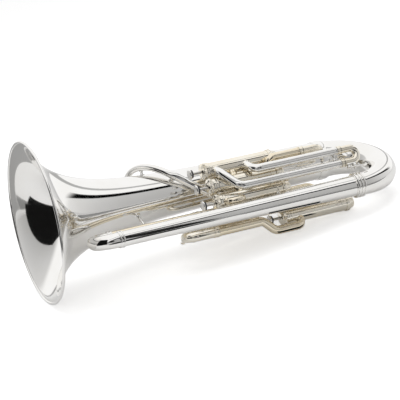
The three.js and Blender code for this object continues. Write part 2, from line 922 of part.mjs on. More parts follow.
function slideFourSleeves() {
  const near = sleeve([
    at(slideFourStartX, slideFourNear),
    at(slideFourNearPortX, slideFourNear),
    at(slideFourNearPortX, valveFourPlace),
  ], [archBend], slideFourPlaces);
  const far = sleeve([
    at(slideFourStartX, slideFourFar),
    at(slideFourFarPortX, slideFourFar),
    at(slideFourFarPortX, valveFourPlace),
  ], [archBend], slideFourPlaces);
  const pair = braced(near, far, slideFourStartX + collarLength, slideFourPlaces);
  return seated(pair, 3);
}

function mainSleeves() {
  const startX = mainSleeveStartX;
  const [nearEndX, farEndX] = [mainNearSleeveEndX, innerBranchEndX];
  const nearCorners = [at(startX, mainNearPlace), at(nearEndX, mainNearPlace)];
  const farCorners = [at(startX, mainFarPlace), at(farEndX, mainFarPlace)];
  const near = sleeve(nearCorners, [], mainPlaces, mainSleeveRadius);
  const far = sleeve(farCorners, [], mainPlaces, mainSleeveRadius);
  return braced(near, far, startX + collarLength, mainPlaces, mainSleeveRadius);
}

add('slide_1_sleeves', slideOneSleeves(), warmSilver);
add('slide_2_sleeves', slideTwoSleeves(), warmSilver);
add('slide_3_sleeves', slideThreeSleeves());
add('slide_4_sleeves', slideFourSleeves(), warmSilver);
add('main_slide_sleeves', mainSleeves(), warmSilver);

// Slides: two legs in the sleeves, a collar on each and the bow between them

function slide(endX, outwardX, places, legDepth, sizes, straightLength) {
  const half = apart(places[0], places[1]) / 2;
  const legEndX = endX - outwardX * legDepth;
  const turnX = endX + outwardX * (seatGap + collarLength + straightLength + half);
  const corners = [
    at(legEndX, places[0]),
    at(turnX, places[0]),
    at(turnX, places[1]),
    at(legEndX, places[1]),
  ];
  const path = route(corners, [half, half]);
  const end = pathLength(path);
  const collarStart = legDepth + seatGap;
  const collarEnd = collarStart + collarLength;
  const { leg, bow, collar } = sizes;
  const outer = [
    [0, leg],
    [collarStart, leg],
    [collarStart, collar],
    [collarEnd, collar],
    [collarEnd, bow],
    [end - collarEnd, bow],
    [end - collarEnd, collar],
    [end - collarStart, collar],
    [end - collarStart, leg],
    [end, leg],
  ];
  const inner = [[0, leg - slideLegWall], [end, leg - slideLegWall]];
  return tube(path, outer, inner, tubeSides, across(places));
}

const valveSlideSizes = {
  leg: sleeveRadius - tubeWall - slideGap,
  bow: slideBowRadius,
  collar: collarRadius,
};
const mainSlideSizes = {
  leg: mainSleeveRadius - tubeWall - slideGap,
  bow: mainBowTubeRadius,
  collar: mainCollarRadius,
};
const mainBowLegLength = mainSleeveStartX - mainBowStartX - collarLength;
const bowRun = slideBowLength;

add('slide_1', slide(slideOneEndX, 1, slideOnePlaces, slideOneLegDepth, valveSlideSizes, bowRun / 2));
add('slide_2', slide(slideTwoEndX, 1, slideTwoPlaces, slideTwoLegDepth, valveSlideSizes, bowRun));
add('slide_3', slide(slideThreeEndX, 1, slideThreePlaces, longLegDepth, valveSlideSizes, bowRun));
add('slide_4', slide(slideFourStartX, -1, slideFourPlaces, longLegDepth, valveSlideSizes, bowRun));
add('main_slide', slide(
  mainSleeveStartX, -1, mainPlaces, mainLegDepth, mainSlideSizes, mainBowLegLength));

// The tube from the main slide to the side valve

function sideValveFeed() {
  const shiftEndX = feedShiftX + feedShiftLength;
  const corners = [
    at(mainNearSleeveEndX + seatGap, mainNearPlace),
    at(feedShiftX, mainNearPlace),
    at(shiftEndX, feedPlace),
    at(feedPortX, feedPlace),
    at(feedPortX, valveFourPlace),
  ];
  return seated(evenTube(route(corners, [smallBend, feedBend, tightBend]), feedRadius), 3);
}

add('side_valve_feed', sideValveFeed(), warmSilver);

// Leadpipe, wrapped over the bell to the first valve, and the mouthpiece receiver

function leadpipeCurve() {
  const points = [];
  const [startDegrees, endDegrees, stepDegrees] = [-12, 150, 27];
  for (let degrees = startDegrees; degrees <= endDegrees; degrees += stepDegrees) {
    const share = Math.max(degrees, 0) / endDegrees;
    const x = leadpipeStartX + leadpipeReach * share ** 2;
    const distance = bellRadiusAt(x) + leadpipeClearance + leadpipeEndRadius;
    points.push(at(x, beside(bellPlace, degrees, distance)));
  }
  points.push(at(leadpipePortX, beside(valveOnePlace, -10, leadpipeApproach)));
  points.push(at(leadpipePortX, beside(valveOnePlace, -10, casingRadius / 2)));
  return new THREE.CatmullRomCurve3(points);
}

function leadpipe() {
  const path = curved(leadpipeCurve(), leadpipeSteps);
  const end = pathLength(path);
  const outer = [[0, leadpipeStartRadius], [end, leadpipeEndRadius]];
  const inner = outer.map(([distance, radius]) => [distance, radius - tubeWall]);
  return seated(tube(path, outer, inner), 0);
}

function receiver() {
  const inner = clearOf(leadpipeStartRadius + seatGap, turnedSides);
  const shape = turned([
    [-receiverSocketLength, inner],
    [-receiverSocketLength, receiverRadius],
    [receiverLength - receiverLipLength, receiverRadius],
    [receiverLength - receiverLipLength, receiverLipRadius],
    [receiverLength, receiverLipRadius],
    [receiverLength, receiverBoreRadius],
    [seatGap, receiverBoreRadius],
    [seatGap, inner],
  ]);
  const curve = leadpipeCurve();
  const start = curve.getPointAt(0);
  return aimed(shape, start, start.clone().sub(curve.getTangentAt(0)));
}

add('leadpipe', leadpipe());
add('mouthpiece_receiver', receiver());

// Stays: a bar with a flange at each end, seated on round pieces

function stay(from, to, fromRadius, toRadius, cutters) {
  const length = from.distanceTo(to);
  const flange = (x) => aimed(
    rod(stayFlangeRadius, x - stayFlangeHeight, x + stayFlangeHeight, tubeSides), from, to);
  const bar = aimed(rod(stayRadius, fromRadius, length - toRadius, tubeSides), from, to);
  return cut(join(bar, flange(fromRadius), flange(length - toRadius)), ...cutters);
}

function branchCutter() {
  const profile = [];
  const steps = smallSteps;
  for (let i = 0; i <= steps; i += 1) {
    const x = topJointX + (bellLength - topJointX) * i / steps;
    profile.push([x, branchRadiusAt(x) + seatGap]);
  }
  const [startX, endX] = [profile[0][0], profile[steps][0]];
  return along(turned([[startX, 0], ...profile, [endX, 0]], bowSides), outerPlace);
}

function innerCutter() {
  return along(rod(innerBranchRadius + seatGap, topJointX, innerBranchEndX), innerPlace);
}

const branchStay = stay(
  at(bellStayX, outerPlace), at(bellStayX, innerPlace),
  branchRadiusAt(bellStayX), innerBranchRadius, [branchCutter(), innerCutter()]);
const bellStay = stay(
  at(bellStayX, innerPlace), at(bellStayX, bellPlace),
  innerBranchRadius, bellRadiusAt(bellStayX), [innerCutter(), bellCutter()]);
const valveStay = stay(
  at(valveStayX, outerPlace), at(valveStayX, valveOnePlace),
  branchRadiusAt(valveStayX), casingRadius, [branchCutter(), casingCutter(valveOnePlace, topValvesX)]);
const casingStay = stay(
  at(casingStayX, valveThreePlace), at(casingStayX, bellPlace),
  casingRadius, bellRadiusAt(casingStayX), [casingCutter(valveThreePlace, topValvesX), bellCutter()]);

add('stay_branches', branchStay);
add('stay_bell', bellStay);
add('stay_valve_1', valveStay);
add('stay_valve_3', casingStay);

// Water keys. In a key's own group x runs along its tube, z points away from the tube's middle
// and the pin lies along y, with the group's middle on the pin.

const keyPinHeight = keyHeight;

function keySaddle(tubeRadius) {
  const baseTop = -keyPinHeight + keySaddleThickness;
  const baseDepth = keySaddleThickness + tubeRadius / 2;
  const baseLength = keyPadArmLength + keyEarLength;
  const base = box(baseLength, keyWidth + 2 * keyEarThickness + 2 * seatGap, baseDepth)
    .translate(-keyPadArmLength / 2 + keyEarLength / 4, 0, baseTop - baseDepth / 2);
  const earHeight = keyPinHeight + keyPinRadius * 2;
  const earY = keyWidth / 2 + seatGap + keyEarThickness / 2;
  const ear = (side) => box(keyEarLength, keyEarThickness, earHeight)
    .translate(0, side * earY, baseTop - keySaddleThickness + earHeight / 2);
  const pinHalf = earY;
  const pin = rod(keyPinRadius, -pinHalf, pinHalf, 8).rotateZ(Math.PI / 2);
  const nippleTop = -keyThickness / 2 - keyPadThickness - seatGap;
  const nipple = rod(keyNippleRadius, baseTop - keySaddleThickness, nippleTop, 8)
    .rotateY(-Math.PI / 2)
    .translate(-keyPadArmLength, 0, 0);
  const tubeCutter = rod(clearOf(tubeRadius, tubeSides), -baseLength * 2, baseLength * 2, tubeSides)
    .translate(0, 0, -keyPinHeight - tubeRadius);
  return cut(join(base, ear(1), ear(-1), pin, nipple), tubeCutter);
}

function keyLever() {
  const bar = box(keyArmLength + keyPadArmLength, keyWidth, keyThickness)
    .translate((keyArmLength - keyPadArmLength) / 2, 0, 0);
  const barrel = rod(keyBarrelRadius, -keyWidth / 2, keyWidth / 2, 8).rotateZ(Math.PI / 2);
  const padStart = -keyThickness / 2 - keyPadThickness;
  const pad = rod(keyPadRadius, padStart, keyThickness / 2, 8)
    .rotateY(-Math.PI / 2)
    .translate(-keyPadArmLength, 0, 0);
  const touch = box(keyTouchLength, keyTouchWidth, keyThickness).translate(keyArmLength, 0, 0);
  const hole = rod(keyPinRadius + keyPinGap, -keyWidth, keyWidth, 8).rotateZ(Math.PI / 2);
  return cut(join(bar, barrel, pad, touch), hole);
}

function addWaterKey(name, x, towardX, place, tubeRadius, degrees) {
  const key = new THREE.Group();
  const out = new THREE.Vector3(0, ...beside([0, 0], degrees, 1));
  const run = new THREE.Vector3(towardX, 0, 0);
  const across = out.clone().cross(run);
  key.quaternion.setFromRotationMatrix(new THREE.Matrix4().makeBasis(run, across, out));
  key.position.copy(at(x, beside(place, degrees, tubeRadius + keyPinHeight)));
  add(`${name}_saddle`, keySaddle(tubeRadius), silver, key);
  add(`${name}_lever`, keyLever(), silver, key);
  instrument.add(key);
}

const slideKeyX = slideThreeEndX + collarLength + slideBowLength;
addWaterKey('water_key_3', slideKeyX, 1, slideThreeNear, slideBowRadius, 215);
addWaterKey('water_key_main', mainBowStartX + keyArmLength / 4, -1, mainFarPlace, mainBowTubeRadius, -60);

// Rest: the instrument lies on the hull face below its centre of mass, bell towards -x.

function meshesOf(group) {
  const meshes = [];
  group.updateMatrixWorld(true);
  group.traverse((child) => {
    if (child.isMesh) {
      meshes.push(child);
    }
  });
  return meshes;
}

function centreOfMass(meshes) {
  const centre = new THREE.Vector3();
  const [a, b, c] = [new THREE.Vector3(), new THREE.Vector3(), new THREE.Vector3()];
  let total = 0;
  for (const mesh of meshes) {
    const position = mesh.geometry.getAttribute('position');
    const index = mesh.geometry.index.array;
    for (let i = 0; i < index.length; i += 3) {
      a.fromBufferAttribute(position, index[i]).applyMatrix4(mesh.matrixWorld);
      b.fromBufferAttribute(position, index[i + 1]).applyMatrix4(mesh.matrixWorld);
      c.fromBufferAttribute(position, index[i + 2]).applyMatrix4(mesh.matrixWorld);
      const volume = a.dot(b.clone().cross(c)) / 6;
      centre.addScaledVector(a.add(b).add(c), volume / 4);
      total += volume;
    }
  }
  return centre.divideScalar(total);
}

function hullPoints(meshes) {
  return meshes.flatMap((mesh) => {
    const position = mesh.geometry.getAttribute('position');
    return Array.from({ length: position.count }, (_, i) => (
      new THREE.Vector3().fromBufferAttribute(position, i).applyMatrix4(mesh.matrixWorld)));
  });
}

function faceHolds(face, point) {
  const foot = point.clone().addScaledVector(face.normal, -face.distanceToPoint(point));
  let edge = face.edge;
  do {
    const [from, to] = [edge.tail().point, edge.head().point];
    if (to.clone().sub(from).cross(foot.clone().sub(from)).dot(face.normal) < 0) {
      return false;
    }
    edge = edge.next;
  } while (edge !== face.edge);
  return true;
}

function layDown(group) {
  const meshes = meshesOf(group);
  const centre = centreOfMass(meshes);
  const hull = new ConvexHull().setFromPoints(hullPoints(meshes));
  const resting = hull.faces
    .filter((face) => faceHolds(face, centre))
    .sort((a, b) => a.normal.z - b.normal.z)[0];
  const up = resting.normal.clone().negate();
  const run = new THREE.Vector3(1, 0, 0).addScaledVector(up, -up.x).normalize();
  const across = up.clone().cross(run);
  const turn = new THREE.Matrix4().makeBasis(run, across, up).transpose();
  group.quaternion.setFromRotationMatrix(turn);
  group.updateMatrixWorld(true);
  const bounds = new THREE.Box3().setFromObject(group, true);
  const middle = bounds.getCenter(new THREE.Vector3());
  group.position.set(-middle.x, -middle.y, -bounds.min.z);
  return group;
}

const euphonium = new THREE.Group();
euphonium.add(layDown(instrument));

export default euphonium;
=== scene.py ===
"""Silver-plated compensating euphonium, lying on its side on a white floor."""

import functools
import json
import math

import bmesh
import bpy
from mathutils import Matrix, Vector


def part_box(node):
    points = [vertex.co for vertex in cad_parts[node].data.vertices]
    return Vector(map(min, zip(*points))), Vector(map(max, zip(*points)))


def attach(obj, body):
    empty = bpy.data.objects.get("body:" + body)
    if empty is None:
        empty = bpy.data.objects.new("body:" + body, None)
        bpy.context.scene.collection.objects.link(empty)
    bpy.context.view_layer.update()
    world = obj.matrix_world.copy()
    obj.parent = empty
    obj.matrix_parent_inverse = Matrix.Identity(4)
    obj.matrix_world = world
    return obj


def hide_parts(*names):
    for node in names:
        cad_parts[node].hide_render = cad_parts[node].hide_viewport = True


bl_info = {
    "name": "Silver Euphonium",
    "version": (1, 0, 0),
    "blender": (4, 5, 0),
    "location": "3D View > Sidebar > Euphonium",
    "description": "Fine tubes, valves, slides and stage of a silver-plated euphonium",
    "category": "Add Mesh",
}

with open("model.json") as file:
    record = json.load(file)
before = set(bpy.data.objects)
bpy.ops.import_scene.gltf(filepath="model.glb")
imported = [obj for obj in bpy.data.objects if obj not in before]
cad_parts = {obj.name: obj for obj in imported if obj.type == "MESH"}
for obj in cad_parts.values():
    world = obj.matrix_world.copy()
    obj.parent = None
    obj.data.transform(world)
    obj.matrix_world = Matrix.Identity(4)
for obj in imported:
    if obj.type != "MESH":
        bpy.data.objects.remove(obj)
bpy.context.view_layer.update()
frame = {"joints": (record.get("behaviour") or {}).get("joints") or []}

MM = 0.001

# Fits, in millimetres like every size of the instrument
SEAT_GAP = 0.3
SLIDE_GAP = 0.4
PISTON_GAP = 0.4
TUBE_WALL = 0.9

# Bell
BELL_RIM_RADIUS = 150
BELL_THROAT_RADIUS = 42
BELL_END_RADIUS = 36
BELL_LENGTH = 574
BELL_FLARE_LENGTH = 58
BELL_FLARE_SHARE = 0.85
BELL_SPACING = 155
RIM_WIRE_RADIUS = 2.6

# Outer branch, bows and inner branch
BRANCH_START_RADIUS = 13.5
BRANCH_END_RADIUS = 20
BRANCH_TAPER_SHARE = 1.8
TOP_JOINT_X = 106
TOP_BOW_RADIUS = 31.6
TOP_BOW_LEG = 6
INNER_BRANCH_RADIUS = 11.5
INNER_BRANCH_END_X = 364
RETURN_BOW_RADIUS = 15.5
RETURN_BOW_LEG = 3
FERRULE_HALF = 9.5
FERRULE_WALL = 2
TOP_FERRULE_HALF = 5
TOP_FERRULE_WALL = 1.3
BOW_CAP_RADIUS = 6
BOW_CAP_HEIGHT = 3

# Valves
CASING_RADIUS = 14
CASING_WALL = 1.2
CASING_LENGTH = 135
CASING_GAP = 6
CAP_WALL = 1.2
CAP_LIP = 3
TOP_CAP_LENGTH = 15
BOTTOM_SKIRT = 8
BOTTOM_CUP_LENGTH = 12
BOTTOM_CUP_RADIUS = 12
PISTON_LENGTH = 96
PISTON_TOP_DEPTH = 22
PISTON_CROWN = 1.2
STEM_RADIUS = 2.6
VALVE_STROKE = 16
VALVE_REST_GAP = 2
BUTTON_RADIUS = 9.5
BUTTON_THICKNESS = 5
BUTTON_X = -VALVE_STROKE - VALVE_REST_GAP
BUTTON_FACE = BUTTON_X - BUTTON_THICKNESS
FELT_RADIUS = 7.6
TOP_VALVES_X = 302
SIDE_VALVE_X = 432

# Small tubes
SLEEVE_RADIUS = 7.5
SLIDE_LEG_WALL = 0.8
SLIDE_BOW_RADIUS = 7
COLLAR_RADIUS = 8.4
COLLAR_LENGTH = 9
LINK_RADIUS = 7
LOOP_RADIUS = 5.5
MAIN_SLEEVE_RADIUS = 9
MAIN_BOW_TUBE_RADIUS = 9.2
MAIN_COLLAR_RADIUS = 10.4
FEED_RADIUS = 8
STAY_RADIUS = 2.8
STAY_FLANGE_RADIUS = 6.5

# Slides, along x
MAIN_SLEEVE_START_X = 300
MAIN_NEAR_END_X = 384
MAIN_BOW_START_X = 264
MAIN_BOW_HALF = 18.5
SLIDE_1_END_X = 528
SLIDE_1_WIDTH = 24.1
SLIDE_1_PORTS = (388, 412)
SLIDE_2_END_X = 490
SLIDE_2_PORTS = (428, 420)
SLIDE_3_END_X = 556
SLIDE_3_WIDTH = 25
SLIDE_3_ARCH_X = 352
SLIDE_3_ARCH_LENGTH = 24
SLIDE_3_ARCH_REACH = 38.25
SLIDE_3_ARCH_ANGLE = 33.3
SLIDE_3_PORT = 388
SLIDE_4_START_X = 300
SLIDE_4_WIDTH = 28
SLIDE_4_PORTS = (470, 505)
SLIDE_BOW_LENGTH = 16
SLIDE_LEG_DEPTHS = {"slide_1": 88, "slide_2": 40, "slide_3": 110, "slide_4": 110, "main_slide": 52}

# Leadpipe and mouthpiece receiver
LEADPIPE_START_RADIUS = 6
LEADPIPE_END_RADIUS = 7.5
LEADPIPE_START_X = 200
LEADPIPE_REACH = 90
LEADPIPE_CLEARANCE = 6
LEADPIPE_APPROACH = 38
LEADPIPE_PORT_X = 330
LEADPIPE_PORT_ANGLE = -10
LEADPIPE_ANGLES = range(-12, 151, 27)
LEADPIPE_FEET = (15, 69, 123)
RECEIVER_LENGTH = 46
RECEIVER_SOCKET = 4
RECEIVER_RADIUS = 8.2
RECEIVER_BORE = 5.8
RECEIVER_LIP_RADIUS = 9.6

# Links, loops and stays, along x
VALVE_LINK_X = 360
FOURTH_LINK_X = (395, 530)
FEED_SHIFT_X = 390
FEED_SHIFT_LENGTH = 22
FEED_PORT_X = 467
LOOP_LENGTH = 28
LOOP_REACH = 27.5
BELL_STAY_X = 180
VALVE_STAY_X = 425
CASING_STAY_X = 375

# Water keys
KEY_ARM = 21
KEY_PAD_ARM = 12
KEY_THICKNESS = 1.8
KEY_WIDTH = 4.4
KEY_HEIGHT = 6.4
KEY_PAD_RADIUS = 4
KEY_PIN_RADIUS = 1
KEY_TOUCH_WIDTH = 9

# Bend radii
TIGHT_BEND = 11
SMALL_BEND = 12
PORT_BEND = 14
ARCH_BEND = 18
FEED_BEND = 20

# Facets of the fine pieces
BELL_SIDES = 144
BELL_RINGS = 72
BELL_RING_CROWDING = 2.2
RIM_WIRE_SIDES = 20
CAP_SIDES = 120
LARGE_SIDES = 72
TURNED_SIDES = 64
WIDE_SIDES = 56
ROUND_SIDES = 48
SMALL_SIDES = 40
TUBE_SIDES = 32
PIN_SIDES = 24
BRANCH_STEPS = 24
BOTTOM_BOW_STEPS = 36
TOP_BOW_STEPS = 24
BEND_STEPS = 12
CURVE_STEPS = 12
SHARP_ANGLE = math.radians(35)

SETTINGS = "euphonium_settings"


def settings():
    """The values that the sidebar shows."""
    return getattr(bpy.context.scene, SETTINGS)


# Places across the tubes, in the y-z plane


def beside(place, degrees, distance):
    """The place at a distance from another, in a direction in degrees."""
    angle = math.radians(degrees)
    return (place[0] + distance * math.cos(angle), place[1] + distance * math.sin(angle))


def at(x, place):
    """The point of a place at x along the instrument."""
    return Vector((x, place[0], place[1]))


def bell_radius(x):
    """The bell's outer radius at x from the rim."""
    cone = BELL_THROAT_RADIUS + (BELL_END_RADIUS - BELL_THROAT_RADIUS) * x / BELL_LENGTH
    edge = BELL_RIM_RADIUS - 2 * RIM_WIRE_RADIUS - SEAT_GAP
    reach = max(x - RIM_WIRE_RADIUS, 0) / BELL_FLARE_LENGTH
    return cone + (edge - BELL_THROAT_RADIUS) * math.exp(-(reach**BELL_FLARE_SHARE))


def branch_radius(x):
    """The outer branch's radius at x."""
    share = max(x - TOP_JOINT_X, 0) / (BELL_LENGTH - TOP_JOINT_X)
    return BRANCH_START_RADIUS + (BRANCH_END_RADIUS - BRANCH_START_RADIUS) * share**BRANCH_TAPER_SHARE


# The places of the tubes, worked out one from another by an angle in degrees and a distance
VALVE_ROW_TILT = 40.2
OUTER = (0.0, 0.0)
BELL = (BELL_SPACING, 0.0)
INNER = beside(OUTER, -18.4, 2 * TOP_BOW_RADIUS)
VALVE_PITCH = 2 * CASING_RADIUS + CASING_GAP
CASING_TO_SLEEVE = CASING_RADIUS + SLEEVE_RADIUS
VALVE_1 = beside(OUTER, 14, branch_radius(TOP_VALVES_X) + CASING_RADIUS + 11.3)
VALVE_2 = beside(VALVE_1, VALVE_ROW_TILT, VALVE_PITCH)
VALVE_3 = beside(VALVE_2, VALVE_ROW_TILT, VALVE_PITCH)
VALVE_4 = beside(VALVE_1, -90, 2 * CASING_RADIUS + 29)
VALVES = [(place, TOP_VALVES_X) for place in (VALVE_1, VALVE_2, VALVE_3)] + [(VALVE_4, SIDE_VALVE_X)]
MAIN_FAR = beside(INNER, -90, 2 * RETURN_BOW_RADIUS)
MAIN_NEAR = beside(MAIN_FAR, 161, 2 * MAIN_BOW_HALF)
SLIDE_3_NEAR = beside(VALVE_1, 110.3, CASING_TO_SLEEVE + 7.3)
SLIDE_3_FAR = beside(SLIDE_3_NEAR, 53, SLIDE_3_WIDTH)
SLIDE_2_NEAR = beside(VALVE_2, 86, CASING_TO_SLEEVE + 9.5)
SLIDE_2_FAR = beside(VALVE_3, -50, CASING_TO_SLEEVE + 9.5)
SLIDE_1_NEAR = beside(VALVE_1, -101, CASING_TO_SLEEVE + 9.1)
SLIDE_1_FAR = beside(SLIDE_1_NEAR, 5, SLIDE_1_WIDTH)
SLIDE_4_NEAR = beside(INNER, -37, INNER_BRANCH_RADIUS + SLEEVE_RADIUS + 11)
SLIDE_4_FAR = beside(SLIDE_4_NEAR, 0, SLIDE_4_WIDTH)
FOURTH_LINK = beside(VALVE_3, -87, CASING_RADIUS + 62)
FEED = beside(VALVE_4, 209, CASING_RADIUS + FEED_RADIUS + SEAT_GAP + FEED_BEND / 6)

# Each slide's open sleeve end along x, the way it is pulled, its two places and its bow's straight part
SLIDES = {
    "slide_1": (SLIDE_1_END_X, 1, (SLIDE_1_NEAR, SLIDE_1_FAR), SLIDE_BOW_LENGTH / 2),
    "slide_2": (SLIDE_2_END_X, 1, (SLIDE_2_NEAR, SLIDE_2_FAR), SLIDE_BOW_LENGTH),
    "slide_3": (SLIDE_3_END_X, 1, (SLIDE_3_NEAR, SLIDE_3_FAR), SLIDE_BOW_LENGTH),
    "slide_4": (SLIDE_4_START_X, -1, (SLIDE_4_NEAR, SLIDE_4_FAR), SLIDE_BOW_LENGTH),
    "main_slide": (MAIN_SLEEVE_START_X, -1, (MAIN_NEAR, MAIN_FAR),
                   MAIN_SLEEVE_START_X - MAIN_BOW_START_X - COLLAR_LENGTH),
}


def middle_of(node):
    """The middle of a CAD node's box."""
    low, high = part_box(node)
    return (low + high) / 2


def instrument_axes():
    """The instrument's own axes in the frame, found from its valves and its rim, millimetres to metres."""
    run = Vector(next(j["axis"] for j in frame["joints"] if j["name"] == "valve_1_press")).normalized()
    row = (middle_of("valve_3_button") - middle_of("valve_1_button")).normalized()
    lift = run.cross(row)
    tilt = math.radians(VALVE_ROW_TILT)
    across = row * math.cos(tilt) - lift * math.sin(tilt)
    up = row * math.sin(tilt) + lift * math.cos(tilt)
    turn = Matrix((run, across, up)).transposed()
    rim_middle = turn @ at(RIM_WIRE_RADIUS, BELL) * MM
    return Matrix.Translation(middle_of("bell_rim_wire") - rim_middle) @ turn.to_4x4() @ Matrix.Scale(MM, 4)


AXES = instrument_axes()


# Modelling helpers


def round_edges(bm, width):
    """Bevels every edge where two faces meet at more than the sharp angle."""
    sharp = [e for e in bm.edges if e.is_manifold and e.calc_face_angle() > SHARP_ANGLE]
    if width and sharp:
        bmesh.ops.bevel(bm, geom=sharp, offset=width, offset_type="OFFSET", segments=2, profile=0.5,
                        affect="EDGES", clamp_overlap=True, material=-1)
    return bm


def turned(profile, sides=TURNED_SIDES, edge=0.0):
    """Spins a profile of (x, radius) points about the x axis."""
    bm = bmesh.new()
    verts = [bm.verts.new((x, radius, 0)) for x, radius in profile]
    edges = [bm.edges.new(pair) for pair in zip(verts, verts[1:])]
    if profile[0][1] > 0 or profile[-1][1] > 0:
        edges.append(bm.edges.new((verts[-1], verts[0])))
    bmesh.ops.spin(bm, geom=verts + edges, cent=(0, 0, 0), axis=(1, 0, 0), angle=math.tau, steps=sides,
                   use_merge=True)
    bmesh.ops.remove_doubles(bm, verts=bm.verts, dist=1e-4)
    bmesh.ops.recalc_face_normals(bm, faces=bm.faces)
    return round_edges(bm, edge)


def rod(radius, start, end):
    """A short solid bar along x."""
    return turned([(start, 0), (start, radius), (end, radius), (end, 0)], TUBE_SIDES, 0.2)


def block(length, width, height, edge):
    """A box about the origin."""
    bm = bmesh.new()
    bmesh.ops.create_cube(bm, size=1)
    bmesh.ops.scale(bm, vec=(length, width, height), verts=bm.verts)
    return round_edges(bm, edge)


def moved(bm, x, place=(0, 0)):
    """Moves a mesh along the instrument and to its place."""
    bmesh.ops.translate(bm, vec=at(x, place), verts=bm.verts)
    return bm


def rotated(bm, degrees, axis):
    """Turns a mesh about one of the axes."""
    turn = Matrix.Rotation(math.radians(degrees), 3, axis)
    bmesh.ops.rotate(bm, cent=(0, 0, 0), matrix=turn, verts=bm.verts)
    return bm


def aimed(bm, start, end):
    """Turns a mesh made along x so that it runs from one point towards another."""
    turn = Vector((1, 0, 0)).rotation_difference(end - start).to_matrix().to_4x4()
    bmesh.ops.transform(bm, matrix=Matrix.Translation(start) @ turn, verts=bm.verts)
    return bm


def joined(*meshes):
    """Several meshes as one."""
    whole = bmesh.new()
    for bm in meshes:
        spare = bpy.data.meshes.new("spare")
        bm.to_mesh(spare)
        bm.free()
        whole.from_mesh(spare)
        bpy.data.meshes.remove(spare)
    return whole


def placed(data, name):
    """A new object in the scene."""
    thing = bpy.data.objects.new(name, data)
    bpy.context.scene.collection.objects.link(thing)
    return thing


def solid(bm, name, material):
    """A mesh as a new object in the scene."""
    mesh = bpy.data.meshes.new(name)
    bm.to_mesh(mesh)
    bm.free()
    mesh.materials.append(material)
    return placed(mesh, name)


def there_and_back(half, span, middle=()):
    """A profile of (x, radius) points: a half, any middle and the half's mirror image."""
    return [*half, *middle, *[(span - x, radius) for x, radius in reversed(half)]]


def measured(stations):
    """Stations of (distance, point, heading) along a path, without doubled ones."""
    kept = []
    distance = 0.0
    for point, heading in stations:
        step = (point - kept[-1][1]).length if kept else 0.0
        if not kept or step > SEAT_GAP / 10:
            distance += step
            kept.append((distance, point, heading))
    return kept


def route(corners, bends, steps=BEND_STEPS):
    """A path of straight runs between corners, with a round bend at each."""
    stations = [(corners[0], (corners[1] - corners[0]).normalized())]
    for before, corner, after, bend in zip(corners, corners[1:], corners[2:], bends):
        inward = (corner - before).normalized()
        away = (after - corner).normalized()
        turn = inward.angle(away)
        side = (away - inward * away.dot(inward)).normalized()
        start = corner - inward * bend * math.tan(turn / 2)
        for step in range(steps + 1):
            angle = turn * step / steps
            point = start + inward * bend * math.sin(angle) + side * bend * (1 - math.cos(angle))
            stations.append((point, inward * math.cos(angle) + side * math.sin(angle)))
    stations.append((corners[-1], (corners[-1] - corners[-2]).normalized()))
    return measured(stations)


def bow_route(start_x, turn_x, near, far, bend, steps=BEND_STEPS):
    """A path out from one place and back to another, round a bow."""
    corners = [at(start_x, near), at(turn_x, near), at(turn_x, far), at(start_x, far)]
    return route(corners, [bend, bend], steps)


def path_length(path):
    """The whole length of a path."""
    return path[-1][0]


def station_at(path, distance):
    """The station at a distance along a path."""
    for first, second in zip(path, path[1:]):
        if distance <= second[0] + 1e-6:
            share = (distance - first[0]) / (second[0] - first[0])
            heading = first[2].lerp(second[2], share).normalized()
            return (distance, first[1].lerp(second[1], share), heading)
    return path[-1]


def radius_in(profile, distance):
    """The radius that a stepped profile has at a distance."""
    for (from_x, from_radius), (to_x, to_radius) in zip(profile, profile[1:]):
        if distance <= to_x and to_x > from_x:
            return from_radius + (to_radius - from_radius) * (distance - from_x) / (to_x - from_x)
    return profile[-1][1]


def rings_of(path, profile):
    """The steps of a profile and the bends of the path between them, in order."""
    known = [distance for distance, _ in profile]
    rings = [(distance, order, radius) for order, (distance, radius) in enumerate(profile)]
    for distance, _, _ in path:
        if all(abs(distance - other) > SEAT_GAP / 10 for other in known):
            rings.append((distance, len(profile), radius_in(profile, distance)))
    return [(distance, radius) for distance, _, radius in sorted(rings)]


def carried_turns(path, distances, hint):
    """A turn for a ring at each distance, carried along the path without twist."""
    turns = {}
    before = None
    for distance in sorted(set(distances)):
        heading = station_at(path, distance)[2]
        if before is None:
            normal = (hint - heading * hint.dot(heading)).normalized()
        else:
            normal = before.rotation_difference(heading) @ normal
            normal = (normal - heading * normal.dot(heading)).normalized()
        turns[distance] = Matrix((normal, heading.cross(normal), heading)).transposed().to_4x4()
        before = heading
    return turns


